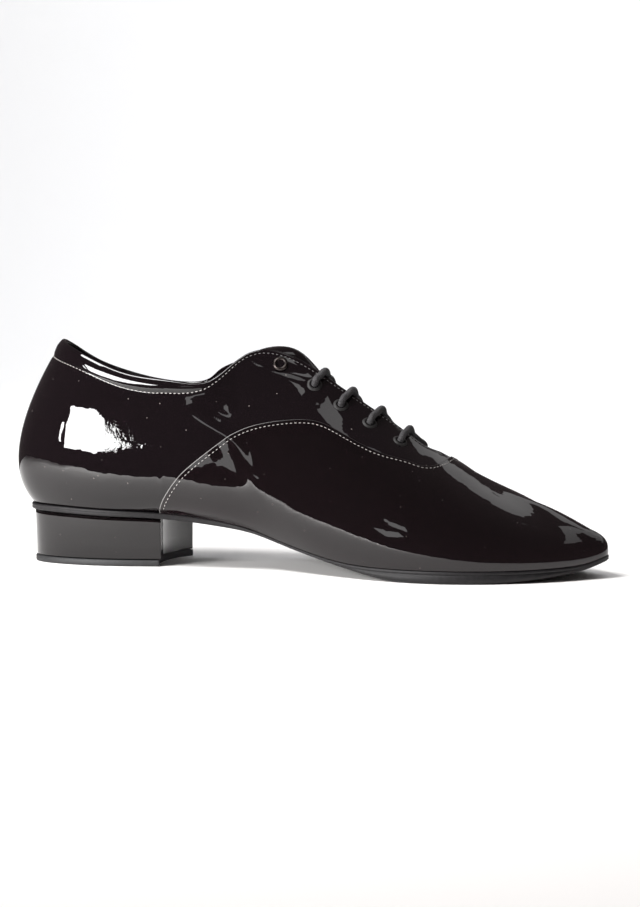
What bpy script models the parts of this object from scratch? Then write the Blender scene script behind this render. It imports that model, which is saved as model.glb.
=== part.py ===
"""Men's ballroom dance shoe for the left foot: a black patent oxford on a thin, closely trimmed
sole and a low covered heel, laced with round cord through small eyelets.

+X runs to the toe and +Z up, and the medial side faces -Y. The origin is on the floor, in the
middle of the heel's tread. All lengths are in metres.
"""

import math

import bmesh
import bpy
import numpy as np
from mathutils import Matrix, Vector

# Driving sizes of the last and the upper
LENGTH = 0.296
BALL_WIDTH = 0.100
SEAT_HEIGHT = 0.0286
COLLAR_RISE = 0.0809
WALL = 0.0018
VAMP_STEP = 0.0007
FIT_GAP = 0.0003

# Sole, heel and insole
SOLE_THICKNESS = 0.0056
SOLE_MARGIN = 0.0010
INSOLE_THICKNESS = 0.0020
HEEL_LENGTH = 0.0706
HEEL_INSET = 0.0022
BREAST_HOLLOW = 0.0060
TOP_PIECE_THICKNESS = 0.0032
TOP_PIECE_FLARE = 0.0004
HEEL_MIDDLE = 0.48 * HEEL_LENGTH
BREAST_CORNER = 0.003
SPINE_ENDS = (0.09 * LENGTH, 0.93 * LENGTH)

# Tongue, eyelets and laces
TONGUE_THICKNESS = 0.0018
TONGUE_WIDTH = 0.034
TONGUE_GAP = 0.0010
EYELET_BORE = 0.0038
EYELET_BARREL = 0.0046
EYELET_FLANGE = 0.0074
EYELET_PLATE = 0.0005
LACE_DIAMETER = 0.0030
LACE_BEND = 0.0021
LACE_OVER_FLANGE = 0.0004
LACE_OVER_FACING = 0.00075

# How finely the curved pieces are faceted
STEPS_PER_ROW = 3
COLUMN_STEPS = 8
RING_SHARES = (0.0, 0.62, 1.0)
SEAM_POINTS = 48
LAYER_START = 0.005
TREAD_SHARES = (1.0, 0.88, 0.66, 0.36, 0.0)
HEEL_SHARES = (0.0, 0.5, 1.0)
BREAST_STEPS = 8
TONGUE_STEPS = 14
TONGUE_SHARES = (1.0, 0.66, 0.33, 0.0)
TONGUE_TIP = 0.6
HOLE_SIDES = 16
EYELET_SIDES = 12
BEND_STEPS = 3
LACE_SHARES = (0.45, 0.2, 0.0)
LACE_ROUNDNESS = 2
DIRECTION_STEP = 0.01
ARC_SHARES = np.linspace(1.0, 0.3, 141)
MERGE = 1e-5

# How far the cutters run past the upper
PRISM_FRONT = 1.1 * LENGTH
PRISM_ROOF = 1.5 * COLLAR_RISE
HOLE_DEPTH = 6 * WALL

# Bottom line of the last, from the back to the toe. at: share of LENGTH; top: height of the
# sole's upper face, as a share of SEAT_HEIGHT; thick: share of SOLE_THICKNESS at the edge
SOLE_LINE = np.array([
    # at, top, thick
    (0.02, 1.000, 0.50),
    (0.10, 0.985, 0.50),
    (0.18, 0.952, 0.50),
    (0.26, 0.920, 0.50),
    (0.32, 0.857, 0.50),
    (0.37, 0.776, 0.42),
    (0.42, 0.671, 0.28),
    (0.47, 0.525, 0.22),
    (0.52, 0.394, 0.23),
    (0.57, 0.283, 0.28),
    (0.61, 0.231, 0.45),
    (0.65, 0.210, 0.75),
    (0.69, 0.203, 0.97),
    (0.76, 0.203, 1.00),
    (0.83, 0.203, 0.98),
    (0.89, 0.208, 0.84),
    (0.94, 0.226, 0.62),
    (0.97, 0.262, 0.48),
    (1.00, 0.385, 0.42),
])

# How far the underside bellies down below its edge. at: share of LENGTH; depth: share of
# SOLE_THICKNESS
CROWN_ROWS = np.array([
    # at, depth
    (0.00, 0.00),
    (0.45, 0.00),
    (0.55, 0.03),
    (0.62, 0.24),
    (0.68, 0.48),
    (0.80, 0.48),
    (0.90, 0.32),
    (1.00, 0.00),
])

# Feather line, where the upper meets the sole, and how the wall leaves it. at: share of LENGTH;
# all others: shares of BALL_WIDTH. medial, lateral: half-breadths; swell: how far the wall is
# drawn outward above the line on each side; rise: how high that pull sits
FEATHER_ROWS = np.array([
    # at, medial, lateral, swell_m, swell_l, rise
    (0.0226, 0.000, 0.000, 0.185, 0.185, 0.190),
    (0.0355, 0.140, 0.140, 0.165, 0.165, 0.195),
    (0.0709, 0.230, 0.230, 0.110, 0.110, 0.220),
    (0.1284, 0.280, 0.283, 0.090, 0.090, 0.220),
    (0.2027, 0.280, 0.295, 0.095, 0.090, 0.210),
    (0.2872, 0.225, 0.300, 0.125, 0.100, 0.200),
    (0.3716, 0.200, 0.315, 0.145, 0.110, 0.200),
    (0.4493, 0.250, 0.345, 0.130, 0.110, 0.220),
    (0.5236, 0.345, 0.390, 0.110, 0.090, 0.240),
    (0.5946, 0.435, 0.428, 0.090, 0.070, 0.250),
    (0.6588, 0.505, 0.450, 0.070, 0.060, 0.250),
    (0.7196, 0.545, 0.440, 0.060, 0.060, 0.240),
    (0.7804, 0.545, 0.405, 0.055, 0.060, 0.210),
    (0.8412, 0.490, 0.340, 0.050, 0.055, 0.180),
    (0.8953, 0.400, 0.255, 0.040, 0.045, 0.150),
    (0.9392, 0.285, 0.160, 0.030, 0.030, 0.120),
    (0.9730, 0.160, 0.065, 0.020, 0.020, 0.090),
    (0.9932, 0.050, -0.050, 0.006, 0.006, 0.075),
])

# Top line: the collar from its back peak down to the quarters' dip, up to the facing's corner,
# along the throat's edge to its foot, and from there the ridge of the vamp to the toe, one row
# for each feather row. at: medial place, and back: how far behind it the lateral side lies, as
# shares of LENGTH; medial, lateral: half-breadths, ridge: how far the ridge swings to the lateral
# side, lean, drop: how far the wall is drawn outward and down at the line, all shares of
# BALL_WIDTH; height: medial height above the sole, and lower: how much less the lateral side
# has, as shares of COLLAR_RISE
TOP_ROWS = np.array([
    # at, back, medial, lateral, ridge, height, lower, lean, drop
    (0.0726, 0.000, 0.000, 0.000, 0.000, 1.000, 0.000, 0.160, 0.250),
    (0.0845, 0.000, 0.095, 0.095, 0.000, 0.988, 0.037, 0.140, 0.250),
    (0.1115, 0.000, 0.170, 0.175, 0.000, 0.943, 0.070, 0.100, 0.250),
    (0.1554, 0.000, 0.220, 0.230, 0.000, 0.881, 0.070, 0.080, 0.240),
    (0.2196, 0.000, 0.250, 0.260, 0.000, 0.818, 0.055, 0.080, 0.220),
    (0.2905, 0.010, 0.250, 0.265, 0.000, 0.807, 0.040, 0.080, 0.200),
    (0.3514, 0.036, 0.215, 0.240, 0.000, 0.841, 0.000, 0.100, 0.220),
    (0.4003, 0.035, 0.115, 0.140, 0.000, 1.021, 0.075, 0.140, 0.300),
    (0.4662, 0.007, 0.070, 0.070, 0.000, 1.090, 0.036, 0.180, 0.320),
    (0.5338, 0.000, 0.055, 0.055, 0.000, 1.014, 0.040, 0.220, 0.270),
    (0.5946, 0.000, 0.050, 0.050, 0.000, 0.909, 0.040, 0.250, 0.190),
    (0.6520, 0.000, 0.043, 0.043, 0.000, 0.785, 0.033, 0.270, 0.125),
    (0.6940, 0.000, 0.032, 0.032, 0.000, 0.678, 0.014, 0.280, 0.080),
    (0.7250, 0.000, 0.000, 0.000, 0.000, 0.620, 0.000, 0.270, 0.055),
    (0.7973, 0.000, 0.000, 0.000, -0.005, 0.476, 0.000, 0.230, 0.040),
    (0.8547, 0.000, 0.000, 0.000, -0.015, 0.377, 0.000, 0.180, 0.030),
    (0.9122, 0.000, 0.000, 0.000, -0.028, 0.277, 0.000, 0.120, 0.012),
    (0.9700, 0.000, 0.000, 0.000, -0.043, 0.160, 0.000, 0.045, 0.004),
])
THROAT_FOOT_ROW = 13
SLOPE_FROM_ROW = 7
SLOPE_BLEND = 2
TOE_SLOPE = -0.5

# Edge of the vamp, which lies over the quarters, from the sole at the heel's breast up and round
# under the throat to the ridge. at: share of LENGTH; height: above the sole's upper face, as a
# share of COLLAR_RISE
SEAM_ROWS = np.array([
    # at, height
    (0.262, -0.060),
    (0.268, 0.010),
    (0.276, 0.070),
    (0.291, 0.157),
    (0.311, 0.255),
    (0.338, 0.356),
    (0.372, 0.475),
    (0.410, 0.587),
    (0.448, 0.663),
    (0.490, 0.725),
    (0.530, 0.755),
    (0.565, 0.735),
    (0.610, 0.678),
    (0.656, 0.625),
    (0.690, 0.588),
    (0.714, 0.562),
    (0.727, 0.570),
    (0.734, 0.592),
    (0.737, 0.640),
])

# Eyelets of a side from the top down. row: place in TOP_ROWS; inset: arc length below the
# throat's edge, as a share of EYELET_FLANGE
EYELETS = np.array([
    # row, inset
    (7.93, 0.84),
    (8.80, 1.08),
    (9.55, 1.36),
    (10.35, 1.50),
    (11.20, 1.55),
])
LATERAL_SHIFT = 0.16
EMPTY_PAIRS = 1

# Tongue, from its free end to where it is fixed under the vamp. row: place in TOP_ROWS; width:
# arc length on each side, and crown: how far its middle stands up between the facings, as
# shares of TONGUE_WIDTH
TONGUE_ROWS = np.array([
    # row, width, crown
    (7.35, 0.34, 0.030),
    (7.90, 0.42, 0.140),
    (8.50, 0.47, 0.100),
    (9.30, 0.50, 0.030),
    (10.50, 0.50, 0.015),
    (11.80, 0.46, 0.010),
    (12.60, 0.40, 0.004),
    (13.40, 0.34, 0.000),
    (14.20, 0.30, 0.000),
])

ROW_COUNT = len(FEATHER_ROWS)
SIDE_STATIONS = (ROW_COUNT - 1) * STEPS_PER_ROW
HEEL_BACK = FEATHER_ROWS[0][0] * LENGTH + HEEL_INSET - SOLE_MARGIN
ORIGIN_AT = HEEL_BACK + HEEL_LENGTH / 2


def spline(knots, values, x):
    """Natural cubic spline through the values at the knots, read at x."""
    knots = np.asarray(knots, dtype=float)
    values = np.asarray(values, dtype=float)
    step = np.diff(knots)
    slope = np.diff(values) / step
    system = np.eye(len(knots))
    right = np.zeros(len(knots))
    for k in range(1, len(knots) - 1):
        system[k, k - 1] = step[k - 1]
        system[k, k] = 2 * (step[k - 1] + step[k])
        system[k, k + 1] = step[k]
        right[k] = 6 * (slope[k] - slope[k - 1])
    bend = np.linalg.solve(system, right)
    x = np.clip(np.asarray(x, dtype=float), knots[0], knots[-1])
    k = np.clip(np.searchsorted(knots, x) - 1, 0, len(step) - 1)
    low = knots[k + 1] - x
    high = x - knots[k]
    h = step[k]
    return (bend[k] * low ** 3 / (6 * h) + bend[k + 1] * high ** 3 / (6 * h)
            + (values[k] / h - bend[k] * h / 6) * low
            + (values[k + 1] / h - bend[k + 1] * h / 6) * high)


def around(medial, lateral, rows):
    """Closed cubic spline round both sides: medial from back to toe, then lateral to the back.

    rows counts table rows from the back, and from the toe on along the lateral side."""
    ring = np.concatenate([medial, lateral[-2:0:-1]])
    count = len(ring)
    tiled = np.concatenate([ring, ring, ring])
    knots = np.arange(-count, 2 * count)
    return spline(knots, tiled, np.asarray(rows, dtype=float))


def row_of(index):
    """Place of a station in table rows, counted round both sides."""
    return index / STEPS_PER_ROW


def sole_top(x):
    """Height of the sole's upper face, which is flat across."""
    return spline(SOLE_LINE[:, 0] * LENGTH, SOLE_LINE[:, 1] * SEAT_HEIGHT, x)


def sole_edge_thickness(x):
    return spline(SOLE_LINE[:, 0] * LENGTH, SOLE_LINE[:, 2] * SOLE_THICKNESS, x)


def shoe_to_world(x):
    return x - ORIGIN_AT


class Last:
    """The upper's outer surface, as columns from the feather line to the top line."""

    def __init__(self, rows):
        feather = FEATHER_ROWS
        top = TOP_ROWS
        fx = around(feather[:, 0], feather[:, 0], rows) * LENGTH
        fy = around(-feather[:, 1], feather[:, 2], rows) * BALL_WIDTH
        ahead = np.asarray(rows) + DIRECTION_STEP
        tx = around(feather[:, 0], feather[:, 0], ahead) * LENGTH - fx
        ty = around(-feather[:, 1], feather[:, 2], ahead) * BALL_WIDTH - fy
        size = np.hypot(tx, ty)
        self.outward = np.stack([ty / size, -tx / size, np.zeros_like(tx)], axis=1)
        self.feather = np.stack([fx, fy, sole_top(fx) + FIT_GAP], axis=1)
        swell = around(feather[:, 3], feather[:, 4], rows) * BALL_WIDTH
        rise = around(feather[:, 5], feather[:, 5], rows) * BALL_WIDTH
        ridge = around(top[:, 4], top[:, 4], rows) * BALL_WIDTH
        half = around(-top[:, 2], top[:, 3], rows) * BALL_WIDTH
        loop = 2 * (ROW_COUNT - 1)
        from_toe = np.abs(np.mod(rows, loop) - (ROW_COUNT - 1))
        closed = from_toe <= ROW_COUNT - 1 - THROAT_FOOT_ROW + 1e-6
        half = np.where(closed, 0.0, half)
        px, pz = self.top_line(rows)
        # Both sides share one ridge ahead of the throat
        ridge_x, ridge_z = self.top_line(ROW_COUNT - 1 - from_toe)
        px = np.where(closed, ridge_x, px)
        pz = np.where(closed, ridge_z, pz)
        lean = around(top[:, 7], top[:, 7], rows) * BALL_WIDTH
        drop = around(top[:, 8], top[:, 8], rows) * BALL_WIDTH
        self.top = np.stack([px, ridge + half, pz], axis=1)
        # Ahead of the collar the pull follows the slope of the top line
        aim, aim_height = self.top_line(ahead)
        run = np.where(np.abs(aim - px) < 1e-7, 1e-7, aim - px)
        slope = np.where(from_toe < 0.5, TOE_SLOPE, np.clip((aim_height - pz) / run, -1.0, 0.0))
        past = ROW_COUNT - 1 - from_toe - SLOPE_FROM_ROW
        weight = np.clip(past / SLOPE_BLEND, 0.0, 1.0)
        drop = drop - slope * weight * lean * self.outward[:, 0]
        up = np.array([0.0, 0.0, 1.0])
        self.low_pull = self.feather + self.outward * swell[:, None] + up * rise[:, None]
        self.high_pull = self.top + self.outward * lean[:, None] - up * drop[:, None]

    @staticmethod
    def top_line(rows):
        """Place along the shoe and height of the top line."""
        top = TOP_ROWS
        x = around(top[:, 0], top[:, 0] - top[:, 1], rows) * LENGTH
        return x, sole_top(x) + around(top[:, 5], top[:, 5] - top[:, 6], rows) * COLLAR_RISE

    def at(self, v):
        """Points of every column at share v of its curve, from the feather line up."""
        return ((1 - v) ** 3 * self.feather + 3 * (1 - v) ** 2 * v * self.low_pull
                + 3 * (1 - v) * v ** 2 * self.high_pull + v ** 3 * self.top)


def last_point(row, v):
    return Vector(Last(np.array([row])).at(v)[0])


def last_normal(row, v):
    """Outward normal of the upper's surface."""
    step = DIRECTION_STEP
    along = last_point(row + step, v) - last_point(row - step, v)
    up = last_point(row, min(v + step, 1.0)) - last_point(row, max(v - step, 0.0))
    return along.cross(up).normalized()


def share_below_top(row, distance):
    """Share v of the column at a row, the given arc length below its top."""
    last = Last(np.array([row]))
    points = np.array([last.at(v)[0] for v in ARC_SHARES])
    walked = np.concatenate([[0.0], np.cumsum(np.linalg.norm(np.diff(points, axis=0), axis=1))])
    return float(np.interp(distance, walked, ARC_SHARES))


def mirrored(row):
    """The row across the shoe, on the lateral side."""
    return 2 * (ROW_COUNT - 1) - row


def new_material(name, color, roughness, metallic=0.0, coat=0.0):
    material = bpy.data.materials.new(name)
    material.use_nodes = True
    shader = material.node_tree.nodes["Principled BSDF"]
    shader.inputs["Base Color"].default_value = (*color, 1.0)
    shader.inputs["Roughness"].default_value = roughness
    shader.inputs["Metallic"].default_value = metallic
    shader.inputs["Coat Weight"].default_value = coat
    return material


def new_object(name, mesh, material, collection):
    mesh.materials.clear()
    mesh.materials.append(material)
    obj = bpy.data.objects.new(name, mesh)
    collection.objects.link(obj)
    return obj


def mesh_from(name, points, faces):
    """Mesh of points in the shoe's own frame, moved so that the origin is under the heel."""
    mesh = bpy.data.meshes.new(name)
    placed = [(shoe_to_world(p[0]), p[1], p[2]) for p in points]
    mesh.from_pydata(placed, [], faces)
    work = bmesh.new()
    work.from_mesh(mesh)
    bmesh.ops.remove_doubles(work, verts=work.verts, dist=MERGE)
    work.to_mesh(mesh)
    work.free()
    return mesh


def add_boolean(obj, other, operation):
    joint = obj.modifiers.new(other.name, "BOOLEAN")
    joint.operation = operation
    joint.solver = "EXACT"
    joint.object = other


def point_outward(mesh):
    work = bmesh.new()
    work.from_mesh(mesh)
    bmesh.ops.recalc_face_normals(work, faces=work.faces)
    work.to_mesh(mesh)
    work.free()


def hide_cutter(obj):
    obj.hide_render = True
    obj.display_type = "WIRE"


def shell_mesh(name, shares):
    """Open sheet of the upper's surface through the given column shares."""
    stations = 2 * SIDE_STATIONS
    last = Last(np.array([row_of(i) for i in range(stations)]))
    rings = [last.at(v) for v in shares]
    points = [tuple(p) for ring in rings for p in ring]
    faces = []
    for j in range(len(shares) - 1):
        for i in range(stations):
            k = (i + 1) % stations
            faces.append((j * stations + i, j * stations + k,
                          (j + 1) * stations + k, (j + 1) * stations + i))
    return mesh_from(name, points, faces)


def seam_prism(collection):
    """Block over the vamp, whose upper edge is the seam line seen from the side."""
    at = SEAM_ROWS[:, 0] * LENGTH
    height = sole_top(at) + SEAM_ROWS[:, 1] * COLLAR_RISE
    walked = np.concatenate([[0.0], np.cumsum(np.hypot(np.diff(at), np.diff(height)))])
    fine = np.linspace(0.0, walked[-1], SEAM_POINTS)
    line = [(float(spline(walked, at, w)), float(spline(walked, height, w))) for w in fine]
    line += [(at[-1], PRISM_ROOF), (PRISM_FRONT, PRISM_ROOF)]
    line += [(PRISM_FRONT, -SEAT_HEIGHT), (at[0], -SEAT_HEIGHT)]
    count = len(line)
    points = [(x, -BALL_WIDTH, z) for x, z in line] + [(x, BALL_WIDTH, z) for x, z in line]
    faces = [tuple(range(count)), tuple(range(2 * count - 1, count - 1, -1))]
    faces += [(k, count + k, count + (k + 1) % count, (k + 1) % count) for k in range(count)]
    prism = bpy.data.objects.new("seam_prism", mesh_from("seam_prism", points, faces))
    collection.objects.link(prism)
    point_outward(prism.data)
    hide_cutter(prism)
    return prism


def vamp_layer(collection):
    """The vamp's own thickness, from inside the wall to a step above it."""
    shares = [LAYER_START] + [j / COLUMN_STEPS for j in range(1, COLUMN_STEPS + 1)]
    layer = bpy.data.objects.new("vamp_layer", shell_mesh("vamp_layer", shares))
    collection.objects.link(layer)
    shell = layer.modifiers.new("thickness", "SOLIDIFY")
    sunk = WALL / 2
    shell.thickness = VAMP_STEP + sunk
    shell.offset = 2 * VAMP_STEP / (VAMP_STEP + sunk) - 1
    shell.use_even_offset = True
    add_boolean(layer, seam_prism(collection), "INTERSECT")
    hide_cutter(layer)
    return layer


def eyelet_place(index, side):
    """Centre and outward normal of an eyelet; side 0 is medial and 1 is lateral."""
    row, inset = EYELETS[index]
    if side:
        row = mirrored(row + LATERAL_SHIFT)
    v = share_below_top(row, inset * EYELET_FLANGE)
    return last_point(row, v), last_normal(row, v)


def stand_on(point, normal):
    """Matrix that puts a turned piece on the surface, its axis along the normal."""
    place = Vector((shoe_to_world(point.x), point.y, point.z))
    return Matrix.Translation(place) @ normal.to_track_quat("Z", "Y").to_matrix().to_4x4()


def eyelet_holes(collection):
    """Cutter for all the eyelet holes in the facings."""
    work = bmesh.new()
    for index in range(len(EYELETS)):
        for side in (0, 1):
            point, normal = eyelet_place(index, side)
            radius = EYELET_BARREL / 2 + FIT_GAP
            bmesh.ops.create_cone(work, cap_ends=True, segments=HOLE_SIDES, radius1=radius,
                                  radius2=radius, depth=HOLE_DEPTH,
                                  matrix=stand_on(point, normal))
    mesh = bpy.data.meshes.new("eyelet_holes")
    work.to_mesh(mesh)
    work.free()
    holes = bpy.data.objects.new("eyelet_holes", mesh)
    collection.objects.link(holes)
    hide_cutter(holes)
    return holes


def build_upper(material, collection, cutters):
    shares = [j / COLUMN_STEPS for j in range(COLUMN_STEPS + 1)]
    upper = new_object("upper", shell_mesh("upper", shares), material, collection)
    shell = upper.modifiers.new("wall", "SOLIDIFY")
    shell.thickness = WALL
    shell.offset = -1.0
    shell.use_even_offset = True
    add_boolean(upper, vamp_layer(cutters), "UNION")
    add_boolean(upper, eyelet_holes(cutters), "DIFFERENCE")
    return upper


def build_tongue(material, collection):
    """Flap that follows the inside of the facings and spans the throat between them."""
    rows = np.linspace(TONGUE_ROWS[0, 0], TONGUE_ROWS[-1, 0], TONGUE_STEPS)
    widths = spline(TONGUE_ROWS[:, 0], TONGUE_ROWS[:, 1] * TONGUE_WIDTH, rows)
    crowns = spline(TONGUE_ROWS[:, 0], TONGUE_ROWS[:, 2] * TONGUE_WIDTH, rows)
    depth = WALL + TONGUE_GAP
    points = []
    for row, width, crown in zip(rows, widths, crowns):
        sides = []
        for line in (row, mirrored(row)):
            flank = []
            for part_way in TONGUE_SHARES:
                v = share_below_top(line, width * part_way)
                flank.append(last_point(line, v) - last_normal(line, v) * depth)
            sides.append(flank)
        medial, lateral = sides
        middle = (medial[-1] + lateral[-1]) / 2
        half = (medial[-1] - lateral[-1]).length / 2
        if half < TONGUE_GAP:
            medial[-1] = medial[-2].lerp(middle, TONGUE_TIP)
            lateral[-1] = lateral[-2].lerp(middle, TONGUE_TIP)
        middle = middle + Vector((0.0, 0.0, crown))
        points += medial + [middle] + lateral[::-1]
    across = 2 * len(TONGUE_SHARES) + 1
    faces = []
    for j in range(TONGUE_STEPS - 1):
        for i in range(across - 1):
            faces.append((j * across + i, (j + 1) * across + i,
                          (j + 1) * across + i + 1, j * across + i + 1))
    tongue = new_object("tongue", mesh_from("tongue", [tuple(p) for p in points], faces),
                        material, collection)
    flap = tongue.modifiers.new("thickness", "SOLIDIFY")
    flap.thickness = TONGUE_THICKNESS
    flap.offset = -1.0
    return tongue


def eyelet_mesh():
    """Turned section of an eyelet, from the top of its flange down the barrel and back up."""
    bore = EYELET_BORE / 2
    barrel = EYELET_BARREL / 2
    flange = EYELET_FLANGE / 2
    foot = -(WALL + FIT_GAP)
    seat = FIT_GAP
    top = seat + EYELET_PLATE
    mesh = bpy.data.meshes.new("eyelet")
    section = [(bore, top), (flange - EYELET_PLATE, top), (flange, seat), (barrel, seat),
               (barrel, foot), (bore, foot)]
    points = [(x, 0.0, z) for x, z in section]
    edges = [(k, (k + 1) % len(points)) for k in range(len(points))]
    mesh.from_pydata(points, edges, [])
    return mesh


def build_eyelets(material, collection):
    mesh = eyelet_mesh()
    for side, name in ((0, "medial"), (1, "lateral")):
        for index in range(len(EYELETS)):
            eyelet = new_object(f"eyelet_{name}_{index + 1}", mesh, material, collection)
            eyelet.matrix_world = stand_on(*eyelet_place(index, side))
            turn = eyelet.modifiers.new("turn", "SCREW")
            turn.steps = EYELET_SIDES
            turn.render_steps = EYELET_SIDES
            turn.use_merge_vertices = True
            turn.merge_threshold = MERGE


def lace_path(index):
    """Route of one bar: out of the medial eyelet, over both facings and into the lateral one."""
    radius = LACE_DIAMETER / 2
    plate = FIT_GAP + EYELET_PLATE
    high = plate + LACE_OVER_FLANGE + radius
    low = radius + LACE_OVER_FACING
    row, inset = EYELETS[index]
    arc = inset * EYELET_FLANGE
    halves = []
    for side in (0, 1):
        centre, normal = eyelet_place(index, side)
        line = mirrored(row + LATERAL_SHIFT) if side else row
        edge = last_point(line, 1.0)
        toward = edge - centre
        toward = (toward - normal * toward.dot(normal)).normalized()
        half = [centre - normal * WALL / 2, centre + normal * (high - LACE_BEND)]
        for step in range(1, BEND_STEPS + 1):
            angle = math.pi / 2 * step / BEND_STEPS
            half.append(centre + toward * LACE_BEND * (1 - math.cos(angle))
                        + normal * (high - LACE_BEND * (1 - math.sin(angle))))
        for left in LACE_SHARES:
            shift = LATERAL_SHIFT / 2 * (1 - left)
            here = mirrored(row + LATERAL_SHIFT - shift) if side else row + shift
            v = share_below_top(here, arc * left)
            rise = low + (high - low) * left
            half.append(last_point(here, v) + last_normal(here, v) * rise)
        halves.append(half)
    medial, lateral = halves
    span = (medial[-1] + lateral[-1]) / 2
    middle_row = row + LATERAL_SHIFT / 2
    crest = (last_point(middle_row, 1.0) + last_point(mirrored(middle_row), 1.0)) / 2
    span.z = max(span.z, crest.z + low)
    return medial + [span] + lateral[::-1]


def build_laces(material, collection):
    for index in range(EMPTY_PAIRS, len(EYELETS)):
        path = lace_path(index)
        curve = bpy.data.curves.new(f"lace_bar_{index}", "CURVE")
        curve.dimensions = "3D"
        curve.bevel_depth = LACE_DIAMETER / 2
        curve.bevel_resolution = LACE_ROUNDNESS
        curve.use_fill_caps = True
        line = curve.splines.new("POLY")
        line.points.add(len(path) - 1)
        for point, place in zip(line.points, path):
            point.co = (shoe_to_world(place.x), place.y, place.z, 1.0)
        curve.materials.append(material)
        bar = bpy.data.objects.new(f"lace_bar_{index}", curve)
        collection.objects.link(bar)


def slab_mesh(name, outline, middle, top, bottom, top_shares, bottom_shares):
    """Closed slab on an outline, faceted in rings drawn in towards its middle points.

    top and bottom give the height at a place and at a share of the way out to the outline."""
    count = len(outline)
    rings = []
    for height, shares in ((top, top_shares), (bottom, bottom_shares)):
        for share in shares:
            flat = middle + (outline - middle) * share
            z = np.array([height(p[0], share) for p in flat])
            rings.append(np.column_stack([flat, z]))
    points = [tuple(p) for ring in rings for p in ring]
    faces = []
    for j in range(len(rings) - 1):
        for i in range(count):
            k = (i + 1) % count
            faces.append((j * count + k, j * count + i, (j + 1) * count + i, (j + 1) * count + k))
    mesh = mesh_from(name, points, faces)
    point_outward(mesh)
    return mesh


def feather_outline(margin):
    """Points of the feather line moved outward by a margin, and the spine under them."""
    stations = 2 * SIDE_STATIONS
    last = Last(np.array([row_of(i) for i in range(stations)]))
    flat = last.feather[:, :2]
    mirror = [(stations - i) % stations for i in range(stations)]
    spine = (flat + flat[mirror]) / 2
    spine_x = np.clip(spine[:, 0], *SPINE_ENDS)
    spine_y = spline(spine[:SIDE_STATIONS + 1, 0], spine[:SIDE_STATIONS + 1, 1], spine_x)
    return flat + last.outward[:, :2] * margin, np.column_stack([spine_x, spine_y])


def tread(x, share):
    """Height of the sole's underside: flat on the floor under the forefoot, crowned across."""
    edge = sole_top(x) - sole_edge_thickness(x)
    depth = spline(CROWN_ROWS[:, 0] * LENGTH, CROWN_ROWS[:, 1] * SOLE_THICKNESS, x)
    return max(0.0, float(edge - depth * (1 - share ** 2)))


def build_outsole(material, collection):
    outline, spine = feather_outline(SOLE_MARGIN)
    mesh = slab_mesh("outsole", outline, spine, lambda x, share: float(sole_top(x)), tread,
                     RING_SHARES, TREAD_SHARES)
    return new_object("outsole", mesh, material, collection)


def build_insole(material, collection):
    outline, spine = feather_outline(-(WALL + FIT_GAP))
    mesh = slab_mesh("insole", outline, spine,
                     lambda x, share: float(sole_top(x)) + FIT_GAP + INSOLE_THICKNESS,
                     lambda x, share: float(sole_top(x)) + FIT_GAP,
                     RING_SHARES, RING_SHARES[::-1])
    return new_object("insole", mesh, material, collection)


def heel_outline(inset):
    """Outline of the heel's cover: the sole's edge drawn in, closed by the hollow breast."""
    breast = HEEL_BACK + HEEL_LENGTH
    outline, _ = feather_outline(SOLE_MARGIN - inset)
    medial = outline[:SIDE_STATIONS + 1]
    lateral = np.concatenate([outline[SIDE_STATIONS:], outline[:1]])
    near = np.interp(breast, medial[:, 0], medial[:, 1])
    far = np.interp(-breast, -lateral[:, 0], lateral[:, 1])
    loop = [tuple(p) for p in lateral[:-1] if p[0] < breast - BREAST_CORNER]
    loop += [tuple(p) for p in medial if p[0] < breast - BREAST_CORNER]
    for k in range(BREAST_STEPS + 1):
        t = k / BREAST_STEPS
        hollow = BREAST_HOLLOW * (1 - (2 * t - 1) ** 2)
        loop.append((breast - hollow, near + (far - near) * t))
    return np.array(loop)


def heel_slab(name, inset, top, bottom, top_shares):
    outline = heel_outline(inset)
    middle = np.tile(np.array([[HEEL_BACK + HEEL_MIDDLE, 0.0]]), (len(outline), 1))
    return slab_mesh(name, outline, middle, top, bottom, top_shares, (1.0, 0.0))


def build_heel(material, collection):
    mesh = heel_slab("heel", HEEL_INSET,
                     lambda x, share: float(sole_top(x) - sole_edge_thickness(x)) - FIT_GAP,
                     lambda x, share: TOP_PIECE_THICKNESS + FIT_GAP, HEEL_SHARES)
    return new_object("heel", mesh, material, collection)


def build_top_piece(material, collection):
    mesh = heel_slab("top_piece", HEEL_INSET - TOP_PIECE_FLARE,
                     lambda x, share: TOP_PIECE_THICKNESS,
                     lambda x, share: 0.0, (0.0, 1.0))
    return new_object("top_piece", mesh, material, collection)


def main():
    for obj in list(bpy.data.objects):
        bpy.data.objects.remove(obj, do_unlink=True)
    shoe = bpy.data.collections.new("dance_shoe")
    cutters = bpy.data.collections.new("cutters")
    bpy.context.scene.collection.children.link(shoe)
    bpy.context.scene.collection.children.link(cutters)
    patent = new_material("patent_leather", (0.008, 0.007, 0.007), 0.12, coat=1.0)
    sole_edge = new_material("sole_edge", (0.012, 0.012, 0.013), 0.45)
    heel_cover = new_material("heel_cover", (0.008, 0.007, 0.007), 0.15, coat=1.0)
    rubber = new_material("top_piece_rubber", (0.015, 0.015, 0.016), 0.6)
    sock = new_material("sock", (0.02, 0.02, 0.02), 0.8)
    tongue_leather = new_material("tongue_leather", (0.012, 0.011, 0.011), 0.4)
    eyelet_metal = new_material("eyelet_metal", (0.25, 0.24, 0.23), 0.25, metallic=1.0)
    lace_cord = new_material("lace_cord", (0.03, 0.03, 0.032), 0.7)
    build_upper(patent, shoe, cutters)
    build_tongue(tongue_leather, shoe)
    build_eyelets(eyelet_metal, shoe)
    build_laces(lace_cord, shoe)
    build_outsole(sole_edge, shoe)
    build_insole(sock, shoe)
    build_heel(heel_cover, shoe)
    build_top_piece(rubber, shoe)


main()
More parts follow.
